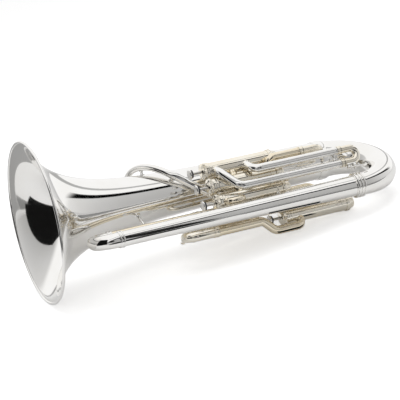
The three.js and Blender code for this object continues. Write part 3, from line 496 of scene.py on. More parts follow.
def sweep(path, outer, inner=None, sides=TUBE_SIDES, edge=0.0):
    """A tube along a path, hollow where it has an inner profile and else closed at its ends."""
    rings = rings_of(path, outer)
    rings += list(reversed(rings_of(path, inner))) if inner else []
    heading = path[0][2]
    hint = Vector((0, 0, 1)) if abs(heading.z) < 0.9 else Vector((0, 1, 0))
    turns = carried_turns(path, [distance for distance, _ in rings], hint)
    bm = bmesh.new()
    first = bmesh.ops.create_circle(bm, cap_ends=False, radius=1, segments=sides)["verts"]
    first_edges = list(bm.edges)
    verts, edges = first, first_edges
    before = Matrix.Identity(4)
    for distance, radius in rings:
        here = Matrix.Translation(station_at(path, distance)[1]) @ turns[distance] @ Matrix.Scale(radius, 4)
        if before != Matrix.Identity(4):
            made = bmesh.ops.extrude_edge_only(bm, edges=edges)["geom"]
            verts = [part for part in made if isinstance(part, bmesh.types.BMVert)]
            edges = [part for part in made if isinstance(part, bmesh.types.BMEdge)]
        bmesh.ops.transform(bm, matrix=here @ before.inverted(), verts=verts)
        before = here
    if inner:
        bmesh.ops.bridge_loops(bm, edges=first_edges + edges)
    else:
        bmesh.ops.edgeloop_fill(bm, edges=first_edges)
        bmesh.ops.edgeloop_fill(bm, edges=edges)
    bmesh.ops.recalc_face_normals(bm, faces=bm.faces)
    return round_edges(bm, edge)


def thinner(profile, wall=TUBE_WALL):
    """A profile that runs the wall's thickness inside another, from end to end."""
    return [(distance, radius - wall) for distance, radius in (profile[0], profile[-1])]


def tapered(path, start_radius, end_radius, sides):
    """A hollow tube along a path, with a radius that changes evenly."""
    profile = [(0, start_radius), (path_length(path), end_radius)]
    return sweep(path, profile, thinner(profile), sides)


def bead(middle, base, height, half, steps=8):
    """The points of a round bead on a turned profile."""
    angles = [math.pi * step / steps for step in range(steps + 1)]
    return [(middle - half * math.cos(angle), base + height * math.sin(angle)) for angle in angles]


# Materials


def nodes_of(name):
    """A new material's node tree and its surface shader."""
    material = bpy.data.materials.new(name)
    material.use_nodes = True
    tree = material.node_tree
    shader = next(node for node in tree.nodes if node.type == "BSDF_PRINCIPLED")
    return material, tree, shader


def feed_inputs(tree, node, values):
    """Sets a node's inputs, each to a value or to another node's output."""
    for socket, value in values.items():
        if isinstance(value, bpy.types.NodeSocket):
            tree.links.new(value, node.inputs[socket])
        else:
            node.inputs[socket].default_value = value


def add_node(tree, kind, values, **options):
    """A new node with its options and its inputs."""
    node = tree.nodes.new(f"ShaderNode{kind}")
    for option, value in options.items():
        setattr(node, option, value)
    feed_inputs(tree, node, values)
    return node


def noise(tree, scale, detail, stretch=(1, 1, 1)):
    """Noise on object coordinates, in metres."""
    place = add_node(tree, "TexCoord", {}).outputs["Object"]
    place = add_node(tree, "Mapping", {"Vector": place, "Scale": stretch}).outputs["Vector"]
    return add_node(tree, "TexNoise", {"Vector": place, "Scale": scale, "Detail": detail}).outputs["Fac"]


def ramp(tree, value, low, high, start=0.3, end=0.7):
    """A blend between two colours by a value."""
    blend = add_node(tree, "ValToRGB", {"Fac": value})
    for element, position, colour in zip(blend.color_ramp.elements, (start, end), (low, high)):
        element.position = position
        element.color = (*colour, 1)
    return blend.outputs["Color"]


def between(tree, value, low, high):
    """A number between two others by a value."""
    return add_node(tree, "MapRange", {"Value": value, "To Min": low, "To Max": high}).outputs["Result"]


def bumped(tree, height, strength, distance):
    """The normal of a surface that a value raises, in metres."""
    values = {"Height": height, "Strength": strength, "Distance": distance}
    return add_node(tree, "Bump", values).outputs["Normal"]


def plated(name, colour, shade, smooth, rough):
    """Polished plate: a faint haze of tarnish, wiping marks and the waviness of hand-worked tube."""
    material, tree, shader = nodes_of(name)
    feed_inputs(tree, shader, {
        "Metallic": 1,
        "Base Color": ramp(tree, noise(tree, 14, 4), shade, colour, 0.35, 0.6),
        "Roughness": between(tree, noise(tree, 90, 5, (0.25, 1, 1)), smooth, rough),
        "Normal": bumped(tree, noise(tree, 22, 2), 0.12, 0.0006),
    })
    return material


def felted(name, low, high):
    """Felt, mottled and matt."""
    material, tree, shader = nodes_of(name)
    grain = noise(tree, 1800, 6)
    feed_inputs(tree, shader, {
        "Roughness": 0.95,
        "Sheen Weight": 0.4,
        "Base Color": ramp(tree, grain, low, high),
        "Normal": bumped(tree, grain, 0.4, 0.0003),
    })
    return material


def pearl(name, low, high):
    """Mother-of-pearl: soft cloudy bands under a clear gloss."""
    material, tree, shader = nodes_of(name)
    clouds = noise(tree, 260, 4, (1, 2.5, 1))
    feed_inputs(tree, shader, {
        "Roughness": 0.18,
        "Coat Weight": 0.6,
        "Base Color": ramp(tree, clouds, low, high),
    })
    return material


@functools.cache
def finish_named(name):
    """The named finish, made once."""
    look = settings()
    rows = {
        "silver": (plated, "polished_silver", look.silver, look.silver_shade, 0.045, 0.10),
        # Inner and warm: the silver plate with a painted warm reflection of the neighbouring tubes in its
        # colour
        "inner": (plated, "inner_silver", look.inner, look.inner_shade, 0.07, 0.14),
        "warm": (plated, "valve_silver_painted_warm_reflection", look.warm, look.warm_shade, 0.055, 0.12),
        "nickel": (plated, "piston_nickel", look.nickel, look.nickel_shade, 0.16, 0.26),
        "felt": (felted, "black_felt", (0.015, 0.015, 0.017), (0.04, 0.04, 0.045)),
        "pearl": (pearl, "button_pearl", (0.72, 0.7, 0.66), (0.93, 0.91, 0.88)),
    }
    make, *values = rows[name]
    return make(*values)


def finish(bm, name, look, *nodes, body="horn"):
    """Lays a mesh down with the instrument and makes it a piece of the object, in place of any CAD nodes."""
    bmesh.ops.transform(bm, matrix=AXES, verts=bm.verts)
    piece = solid(bm, name, finish_named(look))
    piece.data.shade_smooth()
    piece.data.set_sharp_from_angle(angle=SHARP_ANGLE)
    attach(piece, body)
    if nodes:
        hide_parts(*nodes)


# Bell and bows


def bell_profile(inset):
    """The bell's outline, with its rings close together in the flare."""
    points = []
    for ring in range(BELL_RINGS + 1):
        x = RIM_WIRE_RADIUS + (BELL_LENGTH - RIM_WIRE_RADIUS) * (ring / BELL_RINGS) ** BELL_RING_CROWDING
        points.append((x, bell_radius(x) - inset))
    return points


def make_bell():
    """The bell's thin wall and the wire rolled into its rim."""
    outer = bell_profile(0)
    inner = bell_profile(TUBE_WALL)
    lip = (RIM_WIRE_RADIUS * 0.7, bell_radius(0) + RIM_WIRE_RADIUS * 0.6)
    bell = turned([lip, *outer, *reversed(inner)], BELL_SIDES)
    finish(moved(bell, 0, BELL), "bell_wall", "silver", "bell")
    middle = (RIM_WIRE_RADIUS, BELL_RIM_RADIUS - RIM_WIRE_RADIUS)
    wire = [beside(middle, 360 * side / RIM_WIRE_SIDES, RIM_WIRE_RADIUS) for side in range(RIM_WIRE_SIDES)]
    finish(moved(turned(wire, BELL_SIDES), 0, BELL), "rim_wire", "silver", "bell_rim_wire")


def branch_ferrule_mesh():
    """The long ferrule on the outer branch's end, with three round beads."""
    outer = BRANCH_END_RADIUS + FERRULE_WALL * 0.8
    half = [(-FERRULE_HALF, BRANCH_END_RADIUS - 0.2), (-FERRULE_HALF, outer)]
    half += bead(-0.66 * FERRULE_HALF, outer, 2, FERRULE_HALF / 5)
    return turned(there_and_back(half, 0, bead(0, outer, 2, FERRULE_HALF / 5)), LARGE_SIDES)


def bell_ferrule_mesh():
    """The smooth ferrule where the bell meets the bottom bow."""
    radius = bell_radius(BELL_LENGTH - FERRULE_HALF)
    return turned([
        (-FERRULE_HALF, radius), (-FERRULE_HALF, radius + FERRULE_WALL * 0.6),
        (-FERRULE_HALF * 0.6, radius + FERRULE_WALL), (FERRULE_HALF * 0.6, radius + FERRULE_WALL),
        (FERRULE_HALF, radius + FERRULE_WALL * 0.6), (FERRULE_HALF, radius - FERRULE_WALL / 2),
    ], BELL_SIDES, 0.3)


def bow_rest_mesh():
    """The round rest on the outside of the bottom bow."""
    return turned([
        (-BOW_CAP_HEIGHT, 0), (-BOW_CAP_HEIGHT, BOW_CAP_RADIUS), (BOW_CAP_HEIGHT * 0.5, BOW_CAP_RADIUS),
        (BOW_CAP_HEIGHT * 0.9, BOW_CAP_RADIUS * 0.7), (BOW_CAP_HEIGHT, 0),
    ], ROUND_SIDES, 0.6)


def make_bottom_bow():
    """The bottom bow with its two ferrules and its rest."""
    half = BELL_SPACING / 2
    turn_x = BELL_LENGTH + FERRULE_HALF + half
    path = bow_route(BELL_LENGTH + SEAT_GAP, turn_x, OUTER, BELL, half, BOTTOM_BOW_STEPS)
    bow = tapered(path, BRANCH_END_RADIUS, BELL_END_RADIUS, LARGE_SIDES)
    finish(bow, "bow_tube", "silver", "bottom_bow")
    ferrule = moved(branch_ferrule_mesh(), BELL_LENGTH, OUTER)
    finish(ferrule, "branch_ferrule", "silver", "bow_ferrule_branch")
    ferrule = moved(bell_ferrule_mesh(), BELL_LENGTH, BELL)
    finish(ferrule, "bell_ferrule", "silver", "bow_ferrule_bell")
    rest_x = turn_x + (BRANCH_END_RADIUS + BELL_END_RADIUS) / 2
    finish(moved(bow_rest_mesh(), rest_x, (half, 0)), "bow_rest", "silver", "bow_cap")


def outer_branch_mesh():
    """The outer branch, which widens towards the bottom bow."""
    path = route([at(TOP_JOINT_X, OUTER), at(BELL_LENGTH, OUTER)], [])
    profile = []
    for step in range(BRANCH_STEPS + 1):
        distance = path_length(path) * step / BRANCH_STEPS
        profile.append((distance, branch_radius(TOP_JOINT_X + distance)))
    return sweep(path, profile, thinner(profile), LARGE_SIDES)


def top_ferrule_mesh(radius):
    """A short ferrule with a round bead near each end."""
    outer = radius + TOP_FERRULE_WALL * 0.6
    half = [(-TOP_FERRULE_HALF, radius - 0.2), (-TOP_FERRULE_HALF, outer)]
    half += bead(-TOP_FERRULE_HALF * 0.55, outer, 1, 1.6)
    return turned(there_and_back(half, 0))


def make_branches():
    """The outer branch, the top bow, the inner branch and the return bow, with their ferrules."""
    finish(outer_branch_mesh(), "branch_tube", "silver", "outer_branch")
    turn_x = TOP_JOINT_X - TOP_BOW_LEG - TOP_BOW_RADIUS
    path = bow_route(TOP_JOINT_X, turn_x, OUTER, INNER, TOP_BOW_RADIUS, TOP_BOW_STEPS)
    bow = tapered(path, BRANCH_START_RADIUS, INNER_BRANCH_RADIUS, WIDE_SIDES)
    finish(bow, "top_bow_tube", "silver", "top_bow")
    rows = (
        ("top_ferrule_outer", OUTER, BRANCH_START_RADIUS),
        ("top_ferrule_inner", INNER, INNER_BRANCH_RADIUS),
    )
    for node, place, radius in rows:
        ferrule = moved(top_ferrule_mesh(radius), TOP_JOINT_X, place)
        finish(ferrule, f"{node}_beads", "silver", node)
    path = route([at(TOP_JOINT_X, INNER), at(INNER_BRANCH_END_X, INNER)], [])
    branch = tapered(path, INNER_BRANCH_RADIUS, INNER_BRANCH_RADIUS, ROUND_SIDES)
    finish(branch, "inner_tube", "inner", "inner_branch")
    turn_x = INNER_BRANCH_END_X + RETURN_BOW_LEG + RETURN_BOW_RADIUS
    path = bow_route(INNER_BRANCH_END_X, turn_x, INNER, MAIN_FAR, RETURN_BOW_RADIUS)
    bow = tapered(path, INNER_BRANCH_RADIUS, MAIN_SLEEVE_RADIUS, SMALL_SIDES)
    finish(bow, "return_bow_tube", "inner", "return_bow")


# Valves


def ribbed(bm, start, end):
    """Presses straight grip ribs into a turned cap, between two places along x."""
    depth = settings().rib_depth / MM
    for vert in bm.verts:
        angle = math.atan2(vert.co.z, vert.co.y) % math.tau
        if start <= vert.co.x <= end and round(angle / math.tau * CAP_SIDES) % 2:
            reach = math.hypot(vert.co.y, vert.co.z)
            vert.co.yz = vert.co.yz * ((reach - depth) / reach)
    return bm


def top_cap_mesh():
    """The screw cap that a stem runs through, with a ribbed grip."""
    hole = STEM_RADIUS + 0.5
    inner = CASING_RADIUS + 0.1
    radius = CASING_RADIUS + SEAT_GAP + CAP_WALL
    cap = turned([
        (0, hole), (0, 8), (0.8, 11), (2, 12.4), (2.6, radius - 0.8), (3.2, radius), (7.6, radius),
        (8.2, radius - 0.9), (9, radius - 0.9), (9.6, radius - 0.3), (TOP_CAP_LENGTH - 2.4, radius - 0.3),
        *bead(TOP_CAP_LENGTH - 1.3, radius - 0.4, 0.4, 1, 6), (TOP_CAP_LENGTH, inner), (CAP_LIP, inner),
        (CAP_LIP, hole),
    ], CAP_SIDES)
    return ribbed(cap, 3.1, 7.7)


def bottom_cap_mesh():
    """The screw cap below a casing, with a ribbed grip and a small cup."""
    start = CAP_LIP + CASING_LENGTH - BOTTOM_SKIRT / 2
    plate = CAP_LIP + CASING_LENGTH + SEAT_GAP
    end = plate + CAP_LIP
    inner = CASING_RADIUS + 0.1
    radius = CASING_RADIUS + SEAT_GAP + CAP_WALL
    cup = end + BOTTOM_CUP_LENGTH
    cap = turned([
        (start, inner), (start, radius - 0.4), (start + 0.7, radius),
        (end - 0.7, radius), (end, radius - 0.6), (end + 0.4, BOTTOM_CUP_RADIUS + 0.6),
        (end + 1.4, BOTTOM_CUP_RADIUS), (cup - 5, BOTTOM_CUP_RADIUS - 0.4),
        (cup - 2.4, BOTTOM_CUP_RADIUS - 1.8), (cup - 0.9, BOTTOM_CUP_RADIUS - 4.4), (cup - 0.3, 4),
        (cup, 3.6), (cup, 2), (cup - 1.4, 1.6), (cup - 1.4, 0), (plate, 0), (plate, inner),
    ], CAP_SIDES)
    return ribbed(cap, start + 0.6, end - 0.6)


def casing_mesh():
    """A valve casing with a turned band near each end."""
    start, end = CAP_LIP, CAP_LIP + CASING_LENGTH
    inner = CASING_RADIUS - CASING_WALL
    top, bottom = TOP_CAP_LENGTH + 4, end - BOTTOM_SKIRT - 6
    height = settings().bead_height / MM
    return turned([
        (start, inner), (start, CASING_RADIUS), *bead(top, CASING_RADIUS, height, 1.4, 6),
        *bead(bottom, CASING_RADIUS, height, 1.4, 6), (end, CASING_RADIUS), (end, inner),
    ], LARGE_SIDES)


def make_valves():
    """The four valve casings with their caps."""
    parts = (("casing", casing_mesh), ("top_cap", top_cap_mesh), ("bottom_cap", bottom_cap_mesh))
    for number, (place, x) in enumerate(VALVES, 1):
        for part, mesh in parts:
            node = f"valve_{number}_{part}"
            finish(moved(mesh(), x, place), f"{node}_fine", "warm", node)


def piston_mesh():
    """A hollow piston with its stem."""
    radius = CASING_RADIUS - CASING_WALL - PISTON_GAP
    crown = PISTON_TOP_DEPTH + PISTON_CROWN
    end = PISTON_TOP_DEPTH + PISTON_LENGTH
    return turned([
        (BUTTON_X + SEAT_GAP, 0), (BUTTON_X + SEAT_GAP, STEM_RADIUS), (PISTON_TOP_DEPTH, STEM_RADIUS),
        (PISTON_TOP_DEPTH, radius), (end, radius), (end, radius - PISTON_CROWN),
        (crown, radius - PISTON_CROWN), (crown, 0),
    ], ROUND_SIDES, 0.3)


def button_mesh():
    """A turned button with a seat for its pearl."""
    return turned([
        (BUTTON_FACE + 0.7, 0), (BUTTON_FACE + 0.7, BUTTON_RADIUS - 2.4), (BUTTON_FACE, BUTTON_RADIUS - 2),
        (BUTTON_FACE, BUTTON_RADIUS - 0.9), (BUTTON_FACE + 0.9, BUTTON_RADIUS),
        (BUTTON_FACE + 2.6, BUTTON_RADIUS), (BUTTON_FACE + 3.4, BUTTON_RADIUS - 1.2),
        (BUTTON_X - 0.9, 5), (BUTTON_X, 4.6), (BUTTON_X, 0),
    ], TURNED_SIDES, 0.2)


def pearl_mesh():
    """The slightly domed pearl disc in a button."""
    return turned([
        (BUTTON_FACE + 0.7, 0), (BUTTON_FACE + 0.7, BUTTON_RADIUS - 2.5),
        (BUTTON_FACE + 0.25, BUTTON_RADIUS - 2.7), (BUTTON_FACE - 0.05, BUTTON_RADIUS - 4.5),
        (BUTTON_FACE - 0.1, 0),
    ])


def felt_mesh():
    """The felt ring round the stem, under a button."""
    end = BUTTON_X + settings().felt_thickness / MM
    profile = [(BUTTON_X, STEM_RADIUS), (BUTTON_X, FELT_RADIUS), (end, FELT_RADIUS), (end, STEM_RADIUS)]
    return turned(profile, ROUND_SIDES, 0.35)


def make_pistons():
    """The four pistons with their stems, buttons, pearls and felts."""
    parts = (
        (piston_mesh, "piston_fine", "nickel", ["piston"]),
        (button_mesh, "button_cup", "silver", ["button"]),
        (pearl_mesh, "pearl", "pearl", []),
        (felt_mesh, "felt", "felt", []),
    )
    for number, (place, x) in enumerate(VALVES, 1):
        body = f"valve_{number}"
        for mesh, part, look, nodes in parts:
            replaced = [f"{body}_{node}" for node in nodes]
            finish(moved(mesh(), x, place), f"{body}_{part}", look, *replaced, body=body)


# Tubes between the valves


def ported(corners, bends, radius, last=None, first=None):
    """A tube whose last or first end sits on a casing, with a ferrule and a shaped mouth there."""
    path = route(corners, bends)
    end = path_length(path)
    collar = radius + TUBE_WALL
    reach = CASING_RADIUS + 2.4
    outer = [(0, radius), (end, radius)]
    if first:
        outer = [(0, collar), (reach, collar), (reach + 1.0, radius), (end, radius)]
    if last:
        outer = outer[:-1] + [(end - reach - 1.0, radius), (end - reach, collar), (end, collar)]
    bm = sweep(path, outer, thinner([(0, radius), (end, radius)]))
    if first:
        shape_mouth(bm, corners[0], corners[1], first)
    if last:
        shape_mouth(bm, corners[-1], corners[-2], last)
    return bm


def shape_mouth(bm, middle, neighbour, place):
    """Moves the end ring of a tube out of the casing's bore, onto a line just under the casing's skin."""
    port = (neighbour - middle).normalized()
    skin = CASING_RADIUS - 0.5
    for vert in bm.verts:
        reach = (vert.co - middle).dot(port)
        if abs(reach) < 0.05 and (vert.co - middle).length < CASING_RADIUS:
            side = Vector((vert.co.y - place[0], vert.co.z - place[1]))
            aside = side - Vector(port.yz) * side.dot(Vector(port.yz))
            vert.co += port * math.sqrt(skin**2 - aside.length_squared)


def make_links():
    """The tubes that join neighbouring valves, and the long one to the side valve."""
    near, far = FOURTH_LINK_X
    rows = (
        ("link_1_2", VALVE_1, VALVE_2, VALVE_LINK_X, VALVE_LINK_X, []),
        ("link_2_3", VALVE_2, VALVE_3, VALVE_LINK_X, VALVE_LINK_X, []),
        ("link_3_4", VALVE_3, VALVE_4, near, far, [PORT_BEND, PORT_BEND]),
    )
    for name, first, last, start_x, end_x, bends in rows:
        detour = [at(start_x, FOURTH_LINK), at(end_x, FOURTH_LINK)] if bends else []
        corners = [at(start_x, first), *detour, at(end_x, last)]
        finish(ported(corners, bends, LINK_RADIUS, last, first), name, "inner", f"valve_{name}")


def make_loops():
    """The compensating loop behind each of the three top valves."""
    rows = ((VALVE_1, 160, 324), (VALVE_2, -55, 345), (VALVE_3, -20, 330))
    for number, (place, degrees, x) in enumerate(rows, 1):
        far = beside(place, degrees, LOOP_REACH)
        corners = [at(x, place), at(x, far), at(x + LOOP_LENGTH, far), at(x + LOOP_LENGTH, place)]
        bm = ported(corners, [SMALL_BEND, SMALL_BEND], LOOP_RADIUS, place, place)
        finish(bm, f"loop_{number}", "inner", f"compensating_loop_{number}")


# Slides and their sleeves


def sleeve_ring(x, direction, place, radius):
    """The bead at a sleeve's open end."""
    profile = [(0, radius - 0.2), *bead(1.3, radius, 0.7, 1.3, 6), (2.6, radius), (2.6, radius - 0.2)]
    if direction > 0:
        profile = [(-x_here, r) for x_here, r in reversed(profile)]
    return moved(turned(profile, SMALL_SIDES), x, place)


def brace_bar(x, places, radius):
    """A turned bar between two sleeves, with a foot on each."""
    start, end = (at(x, place) for place in places)
    span = (end - start).length
    foot = radius - 0.4
    half = [(foot, 0), (foot, 3.6), (foot + 0.9, 3.6), (foot + 1.6, 2.2), (span / 2 - 1.2, 1.7)]
    profile = there_and_back(half, span, [(span / 2, 2.6)])
    return aimed(turned(profile, TUBE_SIDES), start, end)


def make_sleeves():
    """The five pairs of sleeves, with a bead at each open end and a brace across each pair."""
    arch_x = SLIDE_3_ARCH_X - SLIDE_3_ARCH_LENGTH
    top = beside(SLIDE_3_NEAR, SLIDE_3_ARCH_ANGLE, SLIDE_3_ARCH_REACH)
    arch = [at(SLIDE_3_ARCH_X, SLIDE_3_NEAR), at(arch_x, top)]
    main_ends = (MAIN_NEAR_END_X, INNER_BRANCH_END_X)
    rows = (
        ("slide_1", "inner", SLEEVE_RADIUS, VALVE_1, SLIDE_1_PORTS, ([TIGHT_BEND], [PORT_BEND])),
        ("slide_2", "inner", SLEEVE_RADIUS, VALVE_2, SLIDE_2_PORTS, ([SMALL_BEND], [PORT_BEND])),
        ("slide_3", "silver", SLEEVE_RADIUS, VALVE_3, (arch_x, SLIDE_3_PORT),
         ([ARCH_BEND, PORT_BEND], [PORT_BEND])),
        ("slide_4", "inner", SLEEVE_RADIUS, VALVE_4, SLIDE_4_PORTS, ([ARCH_BEND], [ARCH_BEND])),
        ("main_slide", "inner", MAIN_SLEEVE_RADIUS, None, main_ends, ([], [])),
    )
    for slide, look, radius, valve, ports, bends in rows:
        end_x, outward, places, _ = SLIDES[slide]
        tubes = []
        for place, port_x, turns in zip(places, ports, bends):
            way = arch if len(turns) == 2 else [at(port_x, place)]
            corners = [at(end_x, place), *way, *([at(port_x, valve)] if valve else [])]
            tubes.append(ported(corners, turns, radius, valve))
            tubes.append(sleeve_ring(end_x, outward, place, radius))
        tubes.append(brace_bar(end_x - outward * COLLAR_LENGTH, places, radius))
        finish(joined(*tubes), f"{slide}_sleeves_fine", look, f"{slide}_sleeves")


def slide_mesh(end_x, outward, places, leg_depth, radii, straight):
    """Two legs, a rounded collar on each, and the bow between them."""
    leg, bow, collar = radii
    half = math.dist(*places) / 2
    leg_x = end_x - outward * leg_depth
    turn_x = end_x + outward * (SEAT_GAP + COLLAR_LENGTH + straight + half)
    path = bow_route(leg_x, turn_x, *places, half)
    end = path_length(path)
    start = leg_depth + SEAT_GAP
    stop = start + COLLAR_LENGTH
    low = bow + (collar - bow) * 0.45
    half_profile = [
        (0, leg), (start, leg), (start, collar - 0.3), (start + 0.4, collar), (start + 1.8, collar),
        (start + 2.4, low), (stop - 2.4, low), (stop - 1.8, collar), (stop - 0.6, collar), (stop, bow),
    ]
    return sweep(path, there_and_back(half_profile, end), thinner([(0, leg), (end, leg)], SLIDE_LEG_WALL))


def make_slides():
    """The four valve slides and the main tuning slide."""
    valve_radii = (SLEEVE_RADIUS - TUBE_WALL - SLIDE_GAP, SLIDE_BOW_RADIUS, COLLAR_RADIUS)
    main_radii = (MAIN_SLEEVE_RADIUS - TUBE_WALL - SLIDE_GAP, MAIN_BOW_TUBE_RADIUS, MAIN_COLLAR_RADIUS)
    for slide, (end_x, outward, places, straight) in SLIDES.items():
        radii = main_radii if slide == "main_slide" else valve_radii
        bm = slide_mesh(end_x, outward, places, SLIDE_LEG_DEPTHS[slide], radii, straight)
        finish(bm, f"{slide}_fine", "warm", slide, body=f"{slide}_part")


def make_feed():
    """The tube from the main slide to the side valve."""
    corners = [
        at(MAIN_NEAR_END_X, MAIN_NEAR), at(FEED_SHIFT_X, MAIN_NEAR),
        at(FEED_SHIFT_X + FEED_SHIFT_LENGTH, FEED), at(FEED_PORT_X, FEED), at(FEED_PORT_X, VALVE_4),
    ]
    bm = ported(corners, [SMALL_BEND, FEED_BEND, TIGHT_BEND], FEED_RADIUS, VALVE_4)
    finish(bm, "feed_tube", "inner", "side_valve_feed")


# Leadpipe and receiver


def leadpipe_x(degrees):
    """How far along the bell the leadpipe lies at an angle round it."""
    return LEADPIPE_START_X + LEADPIPE_REACH * (max(degrees, 0) / LEADPIPE_ANGLES[-1])**2


def leadpipe_foot(degrees):
    """A short turned post on the bell that carries the leadpipe."""
    x = leadpipe_x(degrees)
    radius = settings().foot_radius / MM
    skin = bell_radius(x)
    rise = LEADPIPE_CLEARANCE
    post = turned([
        (-0.4, 0), (-0.4, radius), (0.5, radius - 0.2), (1.1, radius - 2.2), (rise / 2, radius - 2.9),
        (rise - 0.6, radius - 2), (rise + 1.4, radius - 1), (rise + 1.4, 0),
    ], SMALL_SIDES)
    return aimed(post, at(x, beside(BELL, degrees, skin)), at(x, beside(BELL, degrees, skin + rise)))


def leadpipe_points():
    """The points that the leadpipe passes through, over the bell and into the first valve."""
    points = []
    for degrees in LEADPIPE_ANGLES:
        x = leadpipe_x(degrees)
        distance = bell_radius(x) + LEADPIPE_CLEARANCE + LEADPIPE_END_RADIUS
        points.append(at(x, beside(BELL, degrees, distance)))
    for distance in (LEADPIPE_APPROACH, CASING_RADIUS / 2):
        points.append(at(LEADPIPE_PORT_X, beside(VALVE_1, LEADPIPE_PORT_ANGLE, distance)))
    return points


def mixed(first, second, start, end, value):
    """The point at a value along a line that has its two points at the start and the end."""
    return first * ((end - value) / (end - start)) + second * ((value - start) / (end - start))


def smooth_route(points, steps):
    """A smooth path through points, without loops or overshoot where they lie unevenly."""
    ends = [points[0] * 2 - points[1], *points, points[-1] * 2 - points[-2]]
    places = []
    for p0, p1, p2, p3 in zip(ends, ends[1:], ends[2:], ends[3:]):
        knots = [0.0]
        for a, b in ((p0, p1), (p1, p2), (p2, p3)):
            knots.append(knots[-1] + math.sqrt((b - a).length))
        t0, t1, t2, t3 = knots
        for step in range(steps):
            t = t1 + (t2 - t1) * step / steps
            middle = mixed(p1, p2, t1, t2, t)
            first = mixed(mixed(p0, p1, t0, t1, t), middle, t0, t2, t)
            second = mixed(middle, mixed(p2, p3, t2, t3, t), t1, t3, t)
            places.append(mixed(first, second, t1, t2, t))
    places.append(points[-1])
    headings = [places[1] - places[0]]
    headings += [after - before for before, after in zip(places, places[2:])]
    headings.append(places[-1] - places[-2])
    return measured([(place, heading.normalized()) for place, heading in zip(places, headings)])


def receiver_mesh():
    """The mouthpiece receiver: a socket over the leadpipe's end, a waist with a bead, and a wide lip."""
    lip = RECEIVER_LENGTH - 4
    waist = RECEIVER_RADIUS - 0.3
    return turned([
        (-RECEIVER_SOCKET, LEADPIPE_START_RADIUS), (-RECEIVER_SOCKET, RECEIVER_RADIUS - 1),
        *bead(-RECEIVER_SOCKET + 1.4, RECEIVER_RADIUS - 0.8, 0.8, 1.2, 6), (0, RECEIVER_RADIUS - 0.9),
        (lip * 0.45, waist), *bead(lip * 0.5, waist, 0.9, 1.6), (lip * 0.55, waist),
        (lip - 0.8, RECEIVER_RADIUS), (lip, RECEIVER_LIP_RADIUS - 0.5), (lip + 0.7, RECEIVER_LIP_RADIUS),
        (RECEIVER_LENGTH - 0.7, RECEIVER_LIP_RADIUS), (RECEIVER_LENGTH, RECEIVER_LIP_RADIUS - 0.6),
        (RECEIVER_LENGTH, RECEIVER_BORE + 0.4), (RECEIVER_LENGTH - 0.5, RECEIVER_BORE),
        (SEAT_GAP, RECEIVER_BORE - 0.3), (SEAT_GAP, LEADPIPE_START_RADIUS),
    ], WIDE_SIDES)


def make_leadpipe():
    """The leadpipe wrapped over the bell, with its feet, and the mouthpiece receiver."""
    path = smooth_route(leadpipe_points(), CURVE_STEPS)
    end = path_length(path) - CASING_RADIUS / 2 + 1
    path = [station for station in path if station[0] < end] + [station_at(path, end)]
    outer = [
        (0, LEADPIPE_START_RADIUS), (end - 8, LEADPIPE_END_RADIUS - 0.1),
        (end - 7, LEADPIPE_END_RADIUS + TUBE_WALL), (end, LEADPIPE_END_RADIUS + TUBE_WALL),
    ]
    inner = [(0, LEADPIPE_START_RADIUS - TUBE_WALL), (end, LEADPIPE_END_RADIUS - TUBE_WALL)]
    finish(sweep(path, outer, inner, SMALL_SIDES), "lead_tube", "silver", "leadpipe")
    finish(joined(*[leadpipe_foot(degrees) for degrees in LEADPIPE_FEET]), "leadpipe_feet", "silver")
    _, start, heading = path[0]
    receiver = aimed(receiver_mesh(), start, start - heading)
    finish(receiver, "receiver_fine", "silver", "mouthpiece_receiver")


# Stays


def stay_mesh(start, end, start_radius, end_radius):
    """A turned bar with a round flange at each end."""
    span = (end - start).length
    low, high = start_radius - 0.6, span - end_radius + 0.6
    half = [
        (low, 0), (low, STAY_FLANGE_RADIUS), (low + 1.6, STAY_FLANGE_RADIUS - 0.4),
        (low + 2.2, STAY_RADIUS + 1), (low + 3.4, STAY_RADIUS),
    ]
    profile = there_and_back(half, low + high, bead((low + high) / 2, STAY_RADIUS, 1, 1.6, 6))
    return aimed(turned(profile, SMALL_SIDES), start, end)


def make_stays():
    """The four stays that hold the tubes to each other."""
    rows = (
        ("stay_branches", BELL_STAY_X, OUTER, INNER, branch_radius(BELL_STAY_X), INNER_BRANCH_RADIUS),
        ("stay_bell", BELL_STAY_X, INNER, BELL, INNER_BRANCH_RADIUS, bell_radius(BELL_STAY_X)),
        ("stay_valve_1", VALVE_STAY_X, OUTER, VALVE_1, branch_radius(VALVE_STAY_X), CASING_RADIUS),
        ("stay_valve_3", CASING_STAY_X, VALVE_3, BELL, CASING_RADIUS, bell_radius(CASING_STAY_X)),
    )
    for node, x, start, end, start_radius, end_radius in rows:
        bm = stay_mesh(at(x, start), at(x, end), start_radius, end_radius)
        finish(bm, f"{node}_fine", "silver", node)


# Water keys


def key_axes(x, towards_x, place, tube_radius, degrees):
    """A key's own axes: x along its tube, z away from the tube, with the pin at the middle."""
    out = at(0, beside((0, 0), degrees, 1))
    run = Vector((towards_x, 0, 0))
    turn = Matrix((run, out.cross(run), out)).transposed().to_4x4()
    return Matrix.Translation(at(x, beside(place, degrees, tube_radius + KEY_HEIGHT))) @ turn


def spring_mesh():
    """The coil of thin wire round a key's pin, with its two tails."""
    wire = settings().spring_wire / MM
    radius, turns, steps_in_turn = 2.0, 3, 14
    steps = steps_in_turn * turns
    points = [Vector((-KEY_PAD_ARM * 0.7, -KEY_WIDTH * 0.45, -1.4))]
    for step in range(steps + 1):
        angle = math.tau * step / steps_in_turn - math.pi / 2
        width = KEY_WIDTH * (0.9 * step / steps - 0.45)
        points.append(Vector((radius * math.cos(angle), width, radius * math.sin(angle) + 0.1)))
    points.append(Vector((KEY_ARM * 0.6, KEY_WIDTH * 0.45, -1.5)))
    path = smooth_route(points, 2)
    return sweep(path, [(0, wire), (path_length(path), wire)], None, 8)


